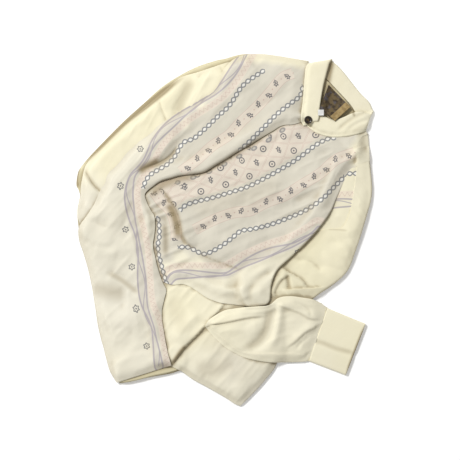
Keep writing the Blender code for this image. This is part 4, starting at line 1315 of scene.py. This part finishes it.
def makeThread():
    # two pairs of strands crossing in the button's well, their ends bent down
    sizes = buttonSizes
    finish = Finish("buttonThread", 0.8)
    twist = finish.cloud(0.6, 1.0)
    colour = finish.mixed(twist, tone(120, 100, 60), tone(82, 66, 38))
    look = finish.paint(colour, twist, 0.4, 0.1)
    shape = bmesh.new()
    radius, spread = sizes["thread"] * mm, sizes["spread"] * mm
    for turn in (sizes["turn"], sizes["turn"] + math.pi / 2):
        for shift in (-0.28, 0.28):
            bar = bmesh.ops.create_cone(shape, cap_ends=True, segments=8, radius1=radius, radius2=radius,
                                        depth=2.3 * spread)
            verts = bar["verts"]
            bmesh.ops.rotate(shape, verts=verts, cent=(0, 0, 0),
                             matrix=Matrix.Rotation(math.pi / 2, 3, "Y"))
            for vertex in verts:
                vertex.co.y += shift * mm
                vertex.co.z += (2.62 - 0.22 * (abs(vertex.co.x) / spread) ** 4) * mm
            bmesh.ops.rotate(shape, verts=verts, cent=(0, 0, 0), matrix=Matrix.Rotation(turn, 3, "Z"))
            bmesh.ops.translate(shape, verts=verts, vec=[part * mm for part in sizes["place"]])
    made = objectFrom("buttonThread", shape, look, smooth=False)
    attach(made, "root")


makeButton()
makeThread()


# neck label: dark woven patch, a tan strip along its lower right side and a small white tab
labelSizes = {
    "patch": ((228, 319), (276, 270), (241, 239), (208, 267)),
    "strip": ((276, 270), (241, 239), (231, 249), (265, 281)),
    "tab": ((204, 264), (217, 264), (217, 251), (204, 251)),
    "gap": 1.2, "crumple": 0.35, "roughness": 0.62,
}
labelTones = {
    "dark": (tone(108, 92, 62), tone(64, 52, 38)),
    "fleck": tone(92, 86, 88),
    "tan": (tone(176, 152, 104), tone(150, 126, 82)),
    "white": (tone(250, 250, 248), tone(225, 225, 222)),
}


def wovenLook(name, tones, fleck=None):
    light, dark = tones
    finish = Finish(name, labelSizes["roughness"], sheen=0.1)
    u, v, rim = finish.parts("threads")
    ribs = (v * (2 * math.pi / 0.9)).sine() * 0.5 + (u * (2 * math.pi / 0.5)).sine() * 0.3
    patch = finish.cloud(9, 3.0)
    colour = finish.mixed((patch - 0.42) * 6.0, light, dark)
    if fleck:
        colour = finish.mixed((finish.cloud(11, 2.0) - 0.53) * 8, colour, fleck)
    colour = finish.mixed(rim.below(1.6, 0.5) * 0.6, colour, dark)
    return finish.paint(colour, ribs, 0.5, 0.15)


def flatPatch(name, corners, sink, wall, material):
    a, b, c, d = (np.asarray(corner, float) for corner in corners)
    settings = {
        "lines": ((a, b), (d, c)), "edges": {}, "wide": np.hypot(*(b - a)), "gap": labelSizes["gap"],
        "creases": (), "crumple": labelSizes["crumple"], "sink": sink,
    }
    grid, threads, rim = layPanel(settings)
    made = sheetObject(name, grid, material, wall)
    addValues(made, "threads", np.dstack([threads, rim]).reshape(-1, 3), "FLOAT_VECTOR")
    panels.append((made, grid, settings))
    pile.add(grid)
    return made


darkWoven = wovenLook("darkWoven", labelTones["dark"], labelTones["fleck"])
neckLabel = flatPatch("neckLabel", labelSizes["patch"], 1.4, 0.7, darkWoven)
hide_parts("label")
flatPatch("labelStrip", labelSizes["strip"], 1.9, 0.5, wovenLook("tanWoven", labelTones["tan"]))
flatPatch("labelTab", labelSizes["tab"], 1.9, 0.4, wovenLook("whiteWoven", labelTones["white"]))
print("button and label ready")


# painted fold shade: how far each point lies in a fold or under an edge, which darkens its colour there
for made, grid, settings in panels:
    x, y, z = (grid[..., k].ravel() for k in range(3))
    lips = [(0.3 * height / 4, 5, line) for height, _, _, line in settings.get("lips", ())]
    shades = lips + list(settings.get("shades", ()))
    # dusk scales the painted shade worked out from the heap round each point
    dusk = np.minimum(pile.shade(x, y, z + 0.3) * settings.get("dusk", 1.0), 0.55)
    addValues(made, "foldShade", np.maximum(dusk, shadeAlong(x, y, shades)))
print("fold shade ready")


# floor, lights and camera, in metres and watts
studio = {
    "floor": 6.0, "floorDrop": 0.0005, "paper": (0.93, 0.93, 0.93, 1), "paperGlow": 0.22,
    "key": 380.0, "keySize": 1.4, "keyPlace": (-3.2, 3.0, 5.2),
    "sky": (1.0, 0.99, 0.97, 1), "skyStrength": 0.36,
    "cameraPlace": (0.011, 0.0, 3.2), "wide": 1.012, "wideAt": 0.012, "sensor": 36,
}


def makeFloor():
    look = bpy.data.materials.new("whitePaper")
    look.use_nodes = True
    paper = look.node_tree.nodes["Principled BSDF"]
    paper.inputs["Base Color"].default_value = studio["paper"]
    paper.inputs["Roughness"].default_value = 0.95
    paper.inputs["Emission Color"].default_value = (1, 1, 1, 1)
    paper.inputs["Emission Strength"].default_value = studio["paperGlow"]
    shape = bmesh.new()
    bmesh.ops.create_grid(shape, x_segments=2, y_segments=2, size=studio["floor"] / 2)
    floor = objectFrom("whiteFloor", shape, look, smooth=False)
    floor.location.z = -studio["floorDrop"]


def makeLights():
    lamp = bpy.data.lights.new("softKey", "AREA")
    lamp.shape, lamp.energy = "RECTANGLE", studio["key"]
    lamp.size = lamp.size_y = studio["keySize"]
    key = bpy.data.objects.new("softKey", lamp)
    scene.collection.objects.link(key)
    key.location = studio["keyPlace"]
    key.rotation_euler = (-key.location).to_track_quat("-Z", "Y").to_euler()
    world = bpy.data.worlds.new("paleRoom")
    world.use_nodes = True
    sky = world.node_tree.nodes["Background"]
    sky.inputs["Color"].default_value = studio["sky"]
    sky.inputs["Strength"].default_value = studio["skyStrength"]
    scene.world = world


def makeCamera():
    # straight down, as wide as the photograph at the height of the cloth
    lens = bpy.data.cameras.new("cameraAbove")
    camera = bpy.data.objects.new("cameraAbove", lens)
    scene.collection.objects.link(camera)
    camera.location = studio["cameraPlace"]
    lens.sensor_width = studio["sensor"]
    lens.lens = studio["sensor"] * (camera.location.z - studio["wideAt"]) / studio["wide"]
    lens.clip_end = 60
    scene.camera = camera


makeFloor()
makeLights()
makeCamera()
print("studio ready")
